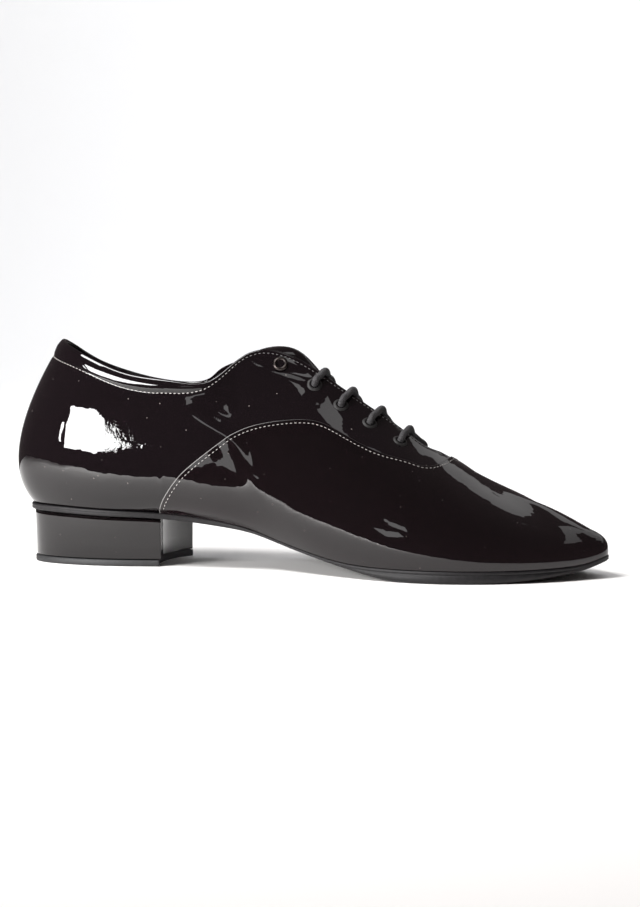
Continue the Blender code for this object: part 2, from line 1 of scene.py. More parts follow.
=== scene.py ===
"""Looks of the men's ballroom dance shoe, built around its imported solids.

The upper's pieces follow the same tables and columns as the solids, in the shoe's own frame
(x from the back of the last, metres), and place() moves them into the frame of the solids.
"""

import math

import bmesh
import bpy
import numpy as np
from mathutils import Matrix, Quaternion, Vector


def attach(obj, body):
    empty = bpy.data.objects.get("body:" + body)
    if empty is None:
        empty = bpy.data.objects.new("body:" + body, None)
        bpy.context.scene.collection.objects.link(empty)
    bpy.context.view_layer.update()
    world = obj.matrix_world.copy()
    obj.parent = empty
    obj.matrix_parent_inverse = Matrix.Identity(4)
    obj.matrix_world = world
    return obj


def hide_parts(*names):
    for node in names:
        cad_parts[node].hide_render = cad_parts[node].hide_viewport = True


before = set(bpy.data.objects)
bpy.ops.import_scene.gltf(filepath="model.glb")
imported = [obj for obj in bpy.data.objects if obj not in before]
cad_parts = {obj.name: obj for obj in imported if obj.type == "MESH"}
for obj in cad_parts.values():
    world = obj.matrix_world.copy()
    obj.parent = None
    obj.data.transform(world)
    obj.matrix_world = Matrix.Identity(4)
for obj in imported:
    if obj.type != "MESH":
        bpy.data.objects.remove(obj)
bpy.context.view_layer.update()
BODY = "root"

# Driving sizes of the last and the upper
LENGTH = 0.296
BALL_WIDTH = 0.100
SEAT_HEIGHT = 0.0286
COLLAR_RISE = 0.0809
WALL = 0.0018
VAMP_STEP = 0.0007
FIT_GAP = 0.0003

# Sole, heel and insole
SOLE_THICKNESS = 0.0056
SOLE_MARGIN = 0.0010
INSOLE_THICKNESS = 0.0020
HEEL_LENGTH = 0.0706
HEEL_INSET = 0.0022
BREAST_HOLLOW = 0.0060
TOP_PIECE_THICKNESS = 0.0032
TOP_PIECE_FLARE = 0.0004
HEEL_MIDDLE = 0.48 * HEEL_LENGTH
SPINE_ENDS = (0.09 * LENGTH, 0.93 * LENGTH)

# Tongue, eyelets and laces
TONGUE_THICKNESS = 0.0018
TONGUE_WIDTH = 0.034
TONGUE_GAP = 0.0010
EYELET_BORE = 0.0038
EYELET_BARREL = 0.0046
EYELET_FLANGE = 0.0074
LACE_DIAMETER = 0.0033
LACE_BEND = 0.0021
LACE_DIP = 0.0004

# Bottom line of the last, from the back to the toe. at: share of LENGTH; top: height of the
# sole's upper face, as a share of SEAT_HEIGHT; thick: share of SOLE_THICKNESS at the edge
SOLE_LINE = np.array([
    # at, top, thick
    (0.02, 1.000, 0.50), (0.10, 0.985, 0.50), (0.18, 0.952, 0.50), (0.26, 0.920, 0.50),
    (0.32, 0.857, 0.50), (0.37, 0.776, 0.42), (0.42, 0.671, 0.28), (0.47, 0.525, 0.22),
    (0.52, 0.394, 0.23), (0.57, 0.283, 0.28), (0.61, 0.231, 0.45), (0.65, 0.210, 0.75),
    (0.69, 0.203, 0.97), (0.76, 0.203, 1.00), (0.83, 0.203, 0.98), (0.89, 0.208, 0.84),
    (0.94, 0.226, 0.62), (0.97, 0.262, 0.48), (1.00, 0.385, 0.42),
])

# How far the underside bellies down below its edge. at: share of LENGTH; depth: share of
# SOLE_THICKNESS
CROWN_ROWS = np.array([
    # at, depth
    (0.00, 0.00), (0.45, 0.00), (0.55, 0.03), (0.62, 0.24), (0.68, 0.48), (0.80, 0.48),
    (0.90, 0.32), (1.00, 0.00),
])

# Feather line, where the upper meets the sole, and how the wall leaves it. at: share of LENGTH;
# all others: shares of BALL_WIDTH. medial, lateral: half-breadths; swell: how far the wall is
# drawn outward above the line on each side; rise: how high that pull sits
FEATHER_ROWS = np.array([
    # at, medial, lateral, swell_m, swell_l, rise
    (0.0226, 0.000, 0.000, 0.185, 0.185, 0.190),
    (0.0355, 0.140, 0.140, 0.165, 0.165, 0.195),
    (0.0709, 0.230, 0.230, 0.110, 0.110, 0.220),
    (0.1284, 0.280, 0.283, 0.092, 0.090, 0.190),
    (0.2027, 0.280, 0.295, 0.102, 0.090, 0.125),
    (0.2872, 0.225, 0.300, 0.170, 0.110, 0.060),
    (0.3716, 0.200, 0.315, 0.198, 0.120, 0.060),
    (0.4493, 0.250, 0.345, 0.138, 0.110, 0.190),
    (0.5236, 0.345, 0.390, 0.110, 0.090, 0.210),
    (0.5946, 0.435, 0.428, 0.090, 0.070, 0.250),
    (0.6588, 0.505, 0.450, 0.070, 0.060, 0.250),
    (0.7196, 0.545, 0.440, 0.060, 0.060, 0.240),
    (0.7804, 0.545, 0.405, 0.055, 0.060, 0.210),
    (0.8412, 0.490, 0.340, 0.050, 0.055, 0.180),
    (0.8953, 0.400, 0.255, 0.040, 0.045, 0.150),
    (0.9392, 0.285, 0.160, 0.030, 0.030, 0.120),
    (0.9730, 0.160, 0.065, 0.020, 0.020, 0.090),
    (0.9932, 0.050, -0.050, 0.006, 0.006, 0.075),
])

# Top line: the collar from its back peak down to the quarters' dip, up to the facing's corner,
# along the throat's edge to its foot, and from there the ridge of the vamp to the toe, one row
# for each feather row. at: medial place, and back: how far behind it the lateral side lies, as
# shares of LENGTH; medial, lateral: half-breadths, ridge: how far the ridge swings to the lateral
# side, lean, drop: how far the wall is drawn outward and down at the line, all shares of
# BALL_WIDTH; height: medial height above the sole, and lower: how much less the lateral side
# has, as shares of COLLAR_RISE
TOP_ROWS = np.array([
    # at, back, medial, lateral, ridge, height, lower, lean, drop
    (0.0726, 0.000, 0.000, 0.000, 0.000, 1.000, 0.000, 0.160, 0.250),
    (0.0845, 0.000, 0.095, 0.095, 0.000, 0.988, 0.037, 0.140, 0.250),
    (0.1115, 0.000, 0.170, 0.175, 0.000, 0.953, 0.080, 0.100, 0.250),
    (0.1554, 0.000, 0.220, 0.230, 0.000, 0.893, 0.082, 0.080, 0.240),
    (0.2196, 0.000, 0.250, 0.260, 0.000, 0.824, 0.061, 0.045, 0.250),
    (0.2905, 0.010, 0.250, 0.265, 0.000, 0.807, 0.040, 0.035, 0.260),
    (0.3514, 0.036, 0.215, 0.240, 0.000, 0.841, 0.000, 0.060, 0.280),
    (0.4003, 0.035, 0.115, 0.140, 0.000, 1.021, 0.075, 0.140, 0.300),
    (0.4662, 0.007, 0.070, 0.070, 0.000, 1.090, 0.046, 0.180, 0.320),
    (0.5338, 0.000, 0.055, 0.055, 0.000, 1.014, 0.062, 0.220, 0.270),
    (0.5946, 0.000, 0.050, 0.050, 0.000, 0.909, 0.062, 0.250, 0.190),
    (0.6520, 0.000, 0.043, 0.043, 0.000, 0.785, 0.055, 0.270, 0.125),
    (0.6940, 0.000, 0.032, 0.032, 0.000, 0.678, 0.024, 0.280, 0.080),
    (0.7250, 0.000, 0.000, 0.000, 0.000, 0.620, 0.000, 0.270, 0.055),
    (0.7973, 0.000, 0.000, 0.000, -0.005, 0.476, 0.000, 0.230, 0.040),
    (0.8547, 0.000, 0.000, 0.000, -0.015, 0.377, 0.000, 0.180, 0.030),
    (0.9122, 0.000, 0.000, 0.000, -0.028, 0.290, 0.000, 0.120, 0.012),
    (0.9700, 0.000, 0.000, 0.000, -0.043, 0.172, 0.000, 0.045, 0.004),
])
THROAT_FOOT_ROW = 13
SLOPE_FROM_ROW = 7
SLOPE_BLEND = 2
TOE_SLOPE = -0.5

# Edge of the vamp, which lies over the quarters, from the sole at the heel's breast up and round
# under the throat to the ridge. at: share of LENGTH; height: above the sole's upper face, as a
# share of COLLAR_RISE
SEAM_ROWS = np.array([
    # at, height
    (0.262, -0.060), (0.268, 0.010), (0.276, 0.070), (0.291, 0.157), (0.311, 0.255),
    (0.338, 0.356), (0.372, 0.475), (0.410, 0.587), (0.448, 0.663), (0.490, 0.725),
    (0.530, 0.755), (0.565, 0.735), (0.610, 0.678), (0.656, 0.625), (0.690, 0.588),
    (0.714, 0.562), (0.727, 0.570), (0.734, 0.592), (0.737, 0.640),
])

# Eyelets of a side from the top down. row: place in TOP_ROWS; inset: arc length below the
# throat's edge, as a share of EYELET_FLANGE
EYELETS = np.array([
    # row, inset
    (7.93, 0.84), (8.80, 1.08), (9.55, 1.36), (10.35, 1.50), (11.20, 1.55),
])
LATERAL_SHIFT = 0.16
EMPTY_PAIRS = 1

# Tongue, from its free end to where it is fixed under the vamp. row: place in TOP_ROWS; width:
# arc length on each side, and crown: how far its middle stands up between the facings, as
# shares of TONGUE_WIDTH
TONGUE_ROWS = np.array([
    # row, width, crown
    (7.35, 0.34, 0.030), (7.90, 0.42, 0.140), (8.30, 0.46, 0.165), (8.75, 0.48, 0.080),
    (9.30, 0.50, 0.030), (10.50, 0.50, 0.015), (11.80, 0.46, 0.010), (12.60, 0.40, 0.004),
    (13.40, 0.34, 0.000), (14.20, 0.30, 0.000),
])

ROW_COUNT = len(FEATHER_ROWS)
LOOP = 2 * (ROW_COUNT - 1)
HEEL_BACK = FEATHER_ROWS[0][0] * LENGTH + HEEL_INSET - SOLE_MARGIN
ORIGIN_AT = HEEL_BACK + HEEL_LENGTH / 2
DIRECTION_STEP = 0.01
UP = np.array([0.0, 0.0, 1.0])

# Splines already worked out, by their values
RING_BENDS = {}


def spline_bend(knots, values):
    """Second derivatives of the natural cubic spline at its knots."""
    step = np.diff(knots)
    slope = np.diff(values) / step
    system = np.eye(len(knots))
    right = np.zeros(len(knots))
    for k in range(1, len(knots) - 1):
        system[k, k - 1] = step[k - 1]
        system[k, k] = 2 * (step[k - 1] + step[k])
        system[k, k + 1] = step[k]
        right[k] = 6 * (slope[k] - slope[k - 1])
    return np.linalg.solve(system, right)


def read_spline(knots, values, bend, x):
    """Cubic spline with those second derivatives, held at its ends."""
    x = np.clip(x, knots[0], knots[-1])
    k = np.clip(np.searchsorted(knots, x) - 1, 0, len(knots) - 2)
    low = knots[k + 1] - x
    high = x - knots[k]
    h = knots[k + 1] - knots[k]
    return (bend[k] * low ** 3 / (6 * h) + bend[k + 1] * high ** 3 / (6 * h)
            + (values[k] / h - bend[k] * h / 6) * low
            + (values[k + 1] / h - bend[k + 1] * h / 6) * high)


def spline(knots, values, x):
    """Natural cubic spline through the values at the knots, read at x."""
    knots = np.asarray(knots, dtype=float)
    values = np.asarray(values, dtype=float)
    return read_spline(knots, values, spline_bend(knots, values), np.asarray(x, dtype=float))


def around(medial, lateral, rows):
    """Closed cubic spline round both sides: medial from back to toe, then lateral to the back.

    rows counts table rows from the back, and from the toe on along the lateral side."""
    ring = np.concatenate([medial, lateral[-2:0:-1]])
    count = len(ring)
    key = ring.tobytes()
    if key not in RING_BENDS:
        knots = np.arange(-count, 2 * count)
        tiled = np.concatenate([ring, ring, ring])
        RING_BENDS[key] = (knots, tiled, spline_bend(knots, tiled))
    return read_spline(*RING_BENDS[key], np.asarray(rows, dtype=float))


def sole_top(x):
    """Height of the sole's upper face, which is flat across."""
    return spline(SOLE_LINE[:, 0] * LENGTH, SOLE_LINE[:, 1] * SEAT_HEIGHT, x)


def sole_edge_thickness(x):
    return spline(SOLE_LINE[:, 0] * LENGTH, SOLE_LINE[:, 2] * SOLE_THICKNESS, x)


class Last:
    """The upper's outer surface, as columns from the feather line to the top line."""

    def __init__(self, rows):
        _, _, _, swell_m, swell_l, rise = FEATHER_ROWS.T
        _, _, medial_top, lateral_top, ridge, _, _, lean, drop = TOP_ROWS.T
        fx, fy = self.feather_line(rows)
        ahead = np.asarray(rows) + DIRECTION_STEP
        next_x, next_y = self.feather_line(ahead)
        tx = next_x - fx
        ty = next_y - fy
        size = np.hypot(tx, ty)
        self.outward = np.stack([ty / size, -tx / size, np.zeros_like(tx)], axis=1)
        self.feather = np.stack([fx, fy, sole_top(fx) + FIT_GAP], axis=1)
        swell = around(swell_m, swell_l, rows) * BALL_WIDTH
        rise = around(rise, rise, rows) * BALL_WIDTH
        ridge = around(ridge, ridge, rows) * BALL_WIDTH
        half = around(-medial_top, lateral_top, rows) * BALL_WIDTH
        from_toe = np.abs(np.mod(rows, LOOP) - (ROW_COUNT - 1))
        closed = from_toe <= ROW_COUNT - 1 - THROAT_FOOT_ROW + TINY
        half = np.where(closed, 0.0, half)
        px, pz = self.top_line(rows)
        # Both sides share one ridge ahead of the throat
        ridge_x, ridge_z = self.top_line(ROW_COUNT - 1 - from_toe)
        px = np.where(closed, ridge_x, px)
        pz = np.where(closed, ridge_z, pz)
        lean = around(lean, lean, rows) * BALL_WIDTH
        drop = around(drop, drop, rows) * BALL_WIDTH
        self.top = np.stack([px, ridge + half, pz], axis=1)
        # Ahead of the collar the pull follows the slope of the top line
        aim, aim_height = self.top_line(ahead)
        run = np.where(np.abs(aim - px) < 1e-7, 1e-7, aim - px)
        slope = np.where(from_toe < 0.5, TOE_SLOPE, np.clip((aim_height - pz) / run, -1.0, 0.0))
        past = ROW_COUNT - 1 - from_toe - SLOPE_FROM_ROW
        weight = np.clip(past / SLOPE_BLEND, 0.0, 1.0)
        drop = drop - slope * weight * lean * self.outward[:, 0]
        self.low_pull = self.feather + self.outward * swell[:, None] + UP * rise[:, None]
        self.high_pull = self.top + self.outward * lean[:, None] - UP * drop[:, None]

    @staticmethod
    def feather_line(rows):
        """Place along and across the shoe of the line where the upper meets the sole."""
        at, medial, lateral = FEATHER_ROWS.T[:3]
        return around(at, at, rows) * LENGTH, around(-medial, lateral, rows) * BALL_WIDTH

    @staticmethod
    def top_line(rows):
        """Place along the shoe and height of the top line."""
        at, back, _, _, _, height, lower, _, _ = TOP_ROWS.T
        x = around(at, at - back, rows) * LENGTH
        return x, sole_top(x) + around(height, height - lower, rows) * COLLAR_RISE

    def at(self, v):
        """Points of the columns at share v of their curves, from the feather line up."""
        return ((1 - v) ** 3 * self.feather + 3 * (1 - v) ** 2 * v * self.low_pull
                + 3 * (1 - v) * v ** 2 * self.high_pull + v ** 3 * self.top)


# Tolerances, and how finely the pieces are drawn
TINY = 1e-6
WELD = 1e-5
AIM_STEP = 2e-4
ARC_STEPS = 60
SEAM_STEPS = 150
TOE_STEPS = 64
RIDGE_LEVELS = 10
RIDGE_ROUNDS = 24
VAMP_LEVELS = 74
QUARTER_COLUMNS = 400
QUARTER_LEVELS = 96
LINING_COLUMNS = 240
LINING_LEVELS = 40
RIM_STEPS = 8
OUTLINE_STEPS = 420
BREAST_STEPS = 60
CORNER_ROUNDS = 3
BRAID_RINGS = 230
CORD_SIDES = 36
TONGUE_RINGS = 64
TONGUE_COLUMNS = 81
COLLAR_COLUMNS = 500
SOCK_STEPS = 300
HEEL_STEPS = 600
RIDGE_STEPS = 200
SEAM_SEARCH = (4.0, 13.8)
SEAM_ROUNDS = 8
SEAM_STEP = 1e-3

# Set, in metres along Y: the part of the floor that the patent mirrors, and what lies round it,
# a hair lower and lapping under, up to a rounded cove and a wall
FLOOR_FRONT = -0.45
FLOOR_BACK = 0.30
FLOOR_LAP = 0.01
FLOOR_STEP = 0.00005
SET_FRONT = -3.0
SET_HALF = 2.4
WALL_TOP = 2.4
COVE_AT = 1.4
COVE_RADIUS = 0.6
COVE_STEPS = 12

# Rim of the upper and what lies just under it. Pairs: the row where a change starts, and over
# how many rows it runs
COLLAR_RIM = 0.0012
FACING_RIM = 0.00095
RIM_THINS = (5.6, 1.4)
RIM_FILL = 0.9
COLLAR_PAD = 0.0007
PAD_FADES = (5.0, 1.6)
ROLL_CREST = 0.45
ROLL_ROUND = 0.14
STITCH_GROOVE = 0.00035
GROOVE_WIDTH = 0.0011
GROOVE_FADES = (4.8, 1.2)
GROOVE_LOSS = 0.7
GROOVE_END = 0.4
CREASE_OFF_RIDGE = 0.006
CREASE_TAPER = 0.7
TUCK = 0.0022
TUCK_DROP = 0.8 * FIT_GAP
RIM_TAIL = 0.004
RIM_REACH = 0.012
LINING_START = 0.001

# Where the quarters end under the vamp, in rows and shares of a column
QUARTER_REACH = 0.15
UNDER_VAMP = 0.07
LEVEL_CROWDING = 1.3

# How far the tongue's sides go towards its middle where they would meet, as a share of the way,
# and the roll that its binding makes along its crown
TONGUE_EASE = 0.6
TONGUE_ROLL = 0.0012
ROLL_AT = 0.53
ROLL_HALF = 0.035
ROLL_END = 8.6
ROLL_FADE = 0.5

# Heel: the fold of its cover at the breast, what is left out where the breast's corners are
# rounded, and the gaps under and over the block
BREAST_FOLD = 0.0006
BREAST_FOLD_END = 0.22
CORNER_GAP = 0.0004
BLOCK_GAP = 0.0002
SEAT_GAP = 0.0001

# Sole's edge: its layer under the upper, the groove below that, and the tread's rim
LAYER = 0.0015
LAYERED_FROM = 0.0022
SPLIT_GROOVE = 0.0005
LIP_DROP = 0.0002
TREAD_INSET = 0.0006

# Sock: its thickness, how far in its raised rim lies, and how high it stands on the insole
SOCK_THICKNESS = 0.0012
SOCK_RIM = 0.0030
SOCK_LIFT = 0.0002

# Stitches, which stand a little proud of the leather
STITCH_PITCH = 0.00215
STITCH_LENGTH = 0.0012
STITCH_FLATTENED = 0.7
SEAM_INSET = 0.0017
VAMP_THREAD = 0.00019
VAMP_THREAD_LIFT = 0.00008
COLLAR_THREAD = 0.00023
COLLAR_THREAD_LIFT = 0.00012

# Lace: how far it clears the leather at its eyelet and at the throat's edge, medial and lateral,
# how far it goes on behind its eyelets, and its braid
LACE_HIGH = (0.0009, 0.0003)
LACE_LOW = (0.0006, 0.0)
LACE_END = 0.0006
LACE_SUNK = 0.0005
STRANDS = 16
BRAID_TWIST = 3300.0
BRAID_CORE = 0.93
BRAID_RISE = 0.13

# Stitch line below the collar and facing. row: place in TOP_ROWS; below: mm under the top line
STITCH_LINE = np.array([
    # row, below
    (0.00, 9.8), (0.75, 9.9), (1.50, 9.4), (2.40, 8.6), (3.50, 8.1), (4.50, 7.7), (5.15, 6.2),
    (5.62, 4.5), (6.10, 3.0), (6.80, 2.6), (7.40, 2.3), (9.00, 2.0), (12.60, 1.9),
])

# Creases and folds of the upper, as lines on one side of it in mm from the back of the last.
# side: -1 medial, 1 lateral; depth: mm inward at its deepest, negative for a ridge; width: mm from
# its middle to where it has faded
CREASES = [
    # side, depth, width, points (x, z)
    (-1, 0.03, 4.5, [(68, 79), (79, 73), (87.5, 65), (94, 55), (97, 48)]),
    (-1, -0.14, 3.0, [(81, 75.5), (88, 72), (92, 65), (95.5, 57)]),
    (-1, -0.85, 7.0, [(90, 77), (95, 74.5), (104, 69.5), (113, 64.5), (119, 59.5), (123, 53),
                      (127, 47), (130, 40), (131, 33)]),
    (-1, 0.60, 4.4, [(96, 82), (108, 75), (121, 68)]),
    (-1, -0.50, 5.0, [(100, 86), (112, 81), (122, 75)]),
    (-1, 0.50, 5.0, [(114, 86), (117, 79), (116, 72)]),
    (-1, 0.50, 5.0, [(122, 67), (134, 59), (142, 48)]),
    (-1, -0.35, 3.5, [(131, 68), (140, 62), (147, 52)]),
    (-1, 0.80, 5.0, [(119, 103), (126, 99), (131, 97), (140, 95), (152, 91)]),
    (-1, 0.40, 3.0, [(182, 60), (192, 56), (201, 51)]),
    (1, 0.60, 6.0, [(88, 80), (100, 70), (116, 57)]),
    (1, -0.50, 5.0, [(94, 70), (104, 60), (112, 50)]),
    (1, -0.80, 8.0, [(126, 62), (138, 52), (146, 40)]),
    (1, 0.50, 6.0, [(176, 55), (182, 42), (184, 30)]),
]


def place(points):
    """Moves points of the shoe's own frame into the frame of the solids."""
    return np.asarray(points) - np.array([ORIGIN_AT, 0.0, 0.0])


def unit(vectors):
    size = np.linalg.norm(vectors, axis=-1, keepdims=True)
    return vectors / np.maximum(size, 1e-12)


def surface(rows, v):
    """Points of the upper's outer surface at table rows and column shares."""
    return Last(np.asarray(rows, dtype=float)).at(np.asarray(v, dtype=float)[:, None])


def surface_normals(rows, v):
    rows = np.asarray(rows, dtype=float)
    v = np.asarray(v, dtype=float)
    along = surface(rows + DIRECTION_STEP, v) - surface(rows - DIRECTION_STEP, v)
    high = np.minimum(v + DIRECTION_STEP, 1.0)
    low = np.maximum(v - DIRECTION_STEP, 0.0)
    return unit(np.cross(along, surface(rows, high) - surface(rows, low)))


def walk(line):
    """How far along a line each of its points lies."""
    return np.concatenate([[0.0], np.cumsum(np.linalg.norm(np.diff(line, axis=0), axis=1))])


def read_line(line, walked, at):
    """A line's points or directions at lengths along it."""
    return np.stack([np.interp(at, walked, line[:, k]) for k in range(line.shape[1])], axis=-1)


def circle(count):
    """Cosine and sine of angles evenly round a circle."""
    return [(math.cos(2 * math.pi * k / count), math.sin(2 * math.pi * k / count))
            for k in range(count)]


def medial_row(rows):
    """The row on the medial side that lies across from each row."""
    return (ROW_COUNT - 1) - np.abs(np.mod(rows, LOOP) - (ROW_COUNT - 1))


class Columns:
    """Arc lengths along the columns at the given rows."""

    def __init__(self, rows):
        self.rows = np.asarray(rows, dtype=float)
        self.shares = np.linspace(0.0, 1.0, ARC_STEPS + 1)
        last = Last(self.rows)
        lines = np.array([last.at(v) for v in self.shares])
        steps = np.linalg.norm(np.diff(lines, axis=0), axis=2)
        walked = np.concatenate([np.zeros((1, len(self.rows))), np.cumsum(steps, axis=0)])
        self.below = walked[-1] - walked

    def share_at(self, distance):
        """Share of each column at an arc length below its top."""
        distance = np.broadcast_to(distance, self.rows.shape)
        return np.array([np.interp(d, self.below[::-1, k], self.shares[::-1])
                         for k, d in enumerate(distance)])

    def depth(self, v):
        """Arc length below the top for shares, one row of the array for each column."""
        return np.array([np.interp(v[k], self.shares, self.below[:, k])
                         for k in range(len(self.rows))])


def smooth_step(x):
    x = np.clip(x, 0.0, 1.0)
    return x * x * (3 - 2 * x)


def change(row, start, length):
    """From 0 at a row to 1 a length of rows further on."""
    return smooth_step((row - start) / length)


def line_distance(points, line):
    """Distance of points to a polyline, and how far along it the nearest place is, from 0 to 1."""
    line = np.asarray(line)
    lengths = np.linalg.norm(np.diff(line, axis=0), axis=1)
    total = lengths.sum()
    best = np.full(len(points), np.inf)
    along = np.zeros(len(points))
    start = 0.0
    for a, b, length in zip(line[:-1], line[1:], lengths):
        t = np.clip((points - a) @ (b - a) / length ** 2, 0.0, 1.0)
        away = np.linalg.norm(points - (a + t[:, None] * (b - a)), axis=1)
        near = away < best
        best = np.where(near, away, best)
        along = np.where(near, (start + t * length) / total, along)
        start += length
    return best, along


def curve_through(points, count):
    """Smooth curve through points, resampled evenly."""
    points = np.asarray(points, dtype=float)
    walked = walk(points)
    at = np.linspace(0.0, walked[-1], count)
    return np.stack([spline(walked, points[:, k], at) for k in range(points.shape[1])], axis=1)


def crease_relief(points):
    """Height of the creases above the surface, negative in a trough."""
    relief = np.zeros(len(points))
    for side, depth, width, line in CREASES:
        route = curve_through(np.array(line) / 1000, 4 * len(line))
        away, along = line_distance(points[:, (0, 2)], route)
        fade = np.clip(np.sin(np.pi * along), 0.0, 1.0) ** CREASE_TAPER
        there = smooth_step(side * points[:, 1] / CREASE_OFF_RIDGE)
        relief -= depth / 1000 * fade * there * np.exp(-(away / (width / 2000)) ** 2)
    return relief


def stitch_below(rows):
    return np.interp(medial_row(rows), STITCH_LINE[:, 0], STITCH_LINE[:, 1] / 1000)


def rim_radius(rows):
    """Half the thickness of the rim, which closes up where the throat ends."""
    row = medial_row(rows)
    rim = COLLAR_RIM + (FACING_RIM - COLLAR_RIM) * change(row, *RIM_THINS)
    half = np.abs(surface(rows, np.ones(len(rows)))[:, 1])
    rim = np.where(row > SLOPE_FROM_ROW, np.minimum(rim, RIM_FILL * half), rim)
    return np.where(row >= THROAT_FOOT_ROW, 0.0, rim)


def collar_relief(rows, below):
    """Padding that leans in to the rim, and the groove that the stitches pull in."""
    line = stitch_below(rows)
    row = medial_row(rows)
    pad = COLLAR_PAD * (1 - change(row, *PAD_FADES))
    t = np.clip(below / line, 0.0, 1.0)
    t = (t - ROLL_CREST) * np.where(t > ROLL_CREST, ROLL_CREST / (1 - ROLL_CREST), 1.0)
    flat = np.hypot(ROLL_CREST, ROLL_ROUND) - ROLL_ROUND
    roll = pad * (1 - (np.hypot(t, ROLL_ROUND) - ROLL_ROUND) / flat)
    width = np.minimum(GROOVE_WIDTH, 0.5 * line)
    deep = STITCH_GROOVE * (1 - GROOVE_LOSS * change(row, *GROOVE_FADES))
    groove = deep * np.exp(-((below - line) / width) ** 2) * (row < THROAT_FOOT_ROW - GROOVE_END)
    return roll - groove


def dressed(rows, v, below=None, lift=0.0):
    """Points of the finished outer surface."""
    points = surface(rows, v)
    normals = surface_normals(rows, v)
    relief = crease_relief(points) + lift
    if below is not None:
        relief = relief + collar_relief(rows, below)
    return points + normals * np.asarray(relief)[:, None], normals


def dressed_grid(rows, v, below=None, lift=0.0):
    """The same for a grid of shares, one row of it for each column of the upper."""
    below = below if below is None else below.ravel()
    parts = dressed(np.repeat(rows, v.shape[1]), v.ravel(), below, lift)
    return [part.reshape(*v.shape, 3) for part in parts]


# Meshes

def add_object(name, data):
    obj = bpy.data.objects.new(name, data)
    bpy.context.scene.collection.objects.link(obj)
    return obj


def new_mesh(name, points, faces, material):
    """Mesh of one material, smooth all over."""
    mesh = bpy.data.meshes.new(name)
    mesh.from_pydata([tuple(p) for p in points], [], [tuple(f) for f in faces])
    for polygon in mesh.polygons:
        polygon.use_smooth = True
    mesh.materials.append(material)
    return mesh


def new_piece(name, points, faces, material, replaced=(), merge=0.0, uv=None):
    """Piece of the shoe that rides on its body and stands in for the replaced nodes."""
    mesh = new_mesh(name, place(points), faces, material)
    if uv is not None:
        layer = mesh.uv_layers.new(name="UVMap")
        for loop in mesh.loops:
            layer.data[loop.index].uv = uv[loop.vertex_index]
    if merge:
        work = bmesh.new()
        work.from_mesh(mesh)
        bmesh.ops.remove_doubles(work, verts=work.verts, dist=merge)
        work.to_mesh(mesh)
        work.free()
    obj = add_object(name, mesh)
    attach(obj, BODY)
    if replaced:
        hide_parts(*replaced)
    return obj


def grid_faces(columns, levels, wrap=False, start=0, closed=False):
    """Quads of a grid whose point k * levels + j is level j of column k.

    wrap joins the last column to the first, closed the last level of a column to its first."""
    faces = []
    for k in range(columns if wrap else columns - 1):
        other = (k + 1) % columns
        for j in range(levels if closed else levels - 1):
            above = (j + 1) % levels
            faces.append((start + k * levels + j, start + other * levels + j,
                          start + other * levels + above, start + k * levels + above))
    return faces


# Seam of the vamp

def seam_on_side(side):
    """Rows and shares of the vamp's edge on one side; side 0 is medial and 1 is lateral."""
    at = SEAM_ROWS[:, 0] * LENGTH
    height = sole_top(at) + SEAM_ROWS[:, 1] * COLLAR_RISE
    walked = np.concatenate([[0.0], np.cumsum(np.hypot(np.diff(at), np.diff(height)))])
    fine = np.linspace(0.0, walked[-1], SEAM_STEPS)
    x = spline(walked, at, fine)
    z = spline(walked, height, fine)
    ridge_rows = np.linspace(THROAT_FOOT_ROW, THROAT_FOOT_ROW + 1, RIDGE_STEPS)
    ridge = surface(ridge_rows, np.ones(RIDGE_STEPS))
    seam_z = np.interp(ridge[:, 0], x, z)
    crossing = int(np.argmax(seam_z > ridge[:, 2]))
    last_row = ridge_rows[crossing]
    keep = (z > sole_top(x) + FIT_GAP) & (x < ridge[crossing, 0])
    x = x[keep]
    z = z[keep]
    grid_row, grid_v = np.meshgrid(np.linspace(*SEAM_SEARCH, 160), np.linspace(0, 1, 81),
                                   indexing="ij")
    grid_row = grid_row.ravel()
    grid_v = grid_v.ravel()

    def turn(r):
        return LOOP - r if side else r

    # The nearest point of a grid, then Newton's rounds
    seen = surface(turn(grid_row), grid_v)
    nearest = [int(np.argmin((seen[:, 0] - a) ** 2 + (seen[:, 2] - b) ** 2))
               for a, b in zip(x, z)]
    row = grid_row[nearest]
    share = grid_v[nearest]
    for _ in range(SEAM_ROUNDS):
        here = surface(turn(row), share)
        by_row = (surface(turn(row + SEAM_STEP), share) - here) / SEAM_STEP
        by_share = (here - surface(turn(row), share - SEAM_STEP)) / SEAM_STEP
        miss_x = x - here[:, 0]
        miss_z = z - here[:, 2]
        det = by_row[:, 0] * by_share[:, 2] - by_share[:, 0] * by_row[:, 2]
        row = row + np.clip((miss_x * by_share[:, 2] - by_share[:, 0] * miss_z) / det, -0.3, 0.3)
        share = share + np.clip((by_row[:, 0] * miss_z - miss_x * by_row[:, 2]) / det, -0.1, 0.1)
        share = np.clip(share, 0.0, 1.0)
    first = row[0] - share[0] * (row[1] - row[0]) / max(share[1] - share[0], TINY)
    row = np.concatenate([[first], row, [last_row]])
    share = np.concatenate([[0.0], share, [1.0]])
    return row, share


SEAM = (seam_on_side(0), seam_on_side(1))
SEAM_END_ROW = SEAM[0][0][-1]


def seam_share(rows):
    """Share of each column where the vamp's edge crosses it, 0 behind the seam and 1 ahead."""
    row = medial_row(rows)
    medial = np.interp(row, *SEAM[0], left=0.0, right=1.0)
    lateral = np.interp(row, *SEAM[1], left=0.0, right=1.0)
    return np.where(np.mod(rows, LOOP) <= ROW_COUNT - 1, medial, lateral)


def tucked(rows):
    """The upper's lower end, turned in under the last."""
    last = Last(rows)
    return last.feather - last.outward * TUCK - UP * TUCK_DROP


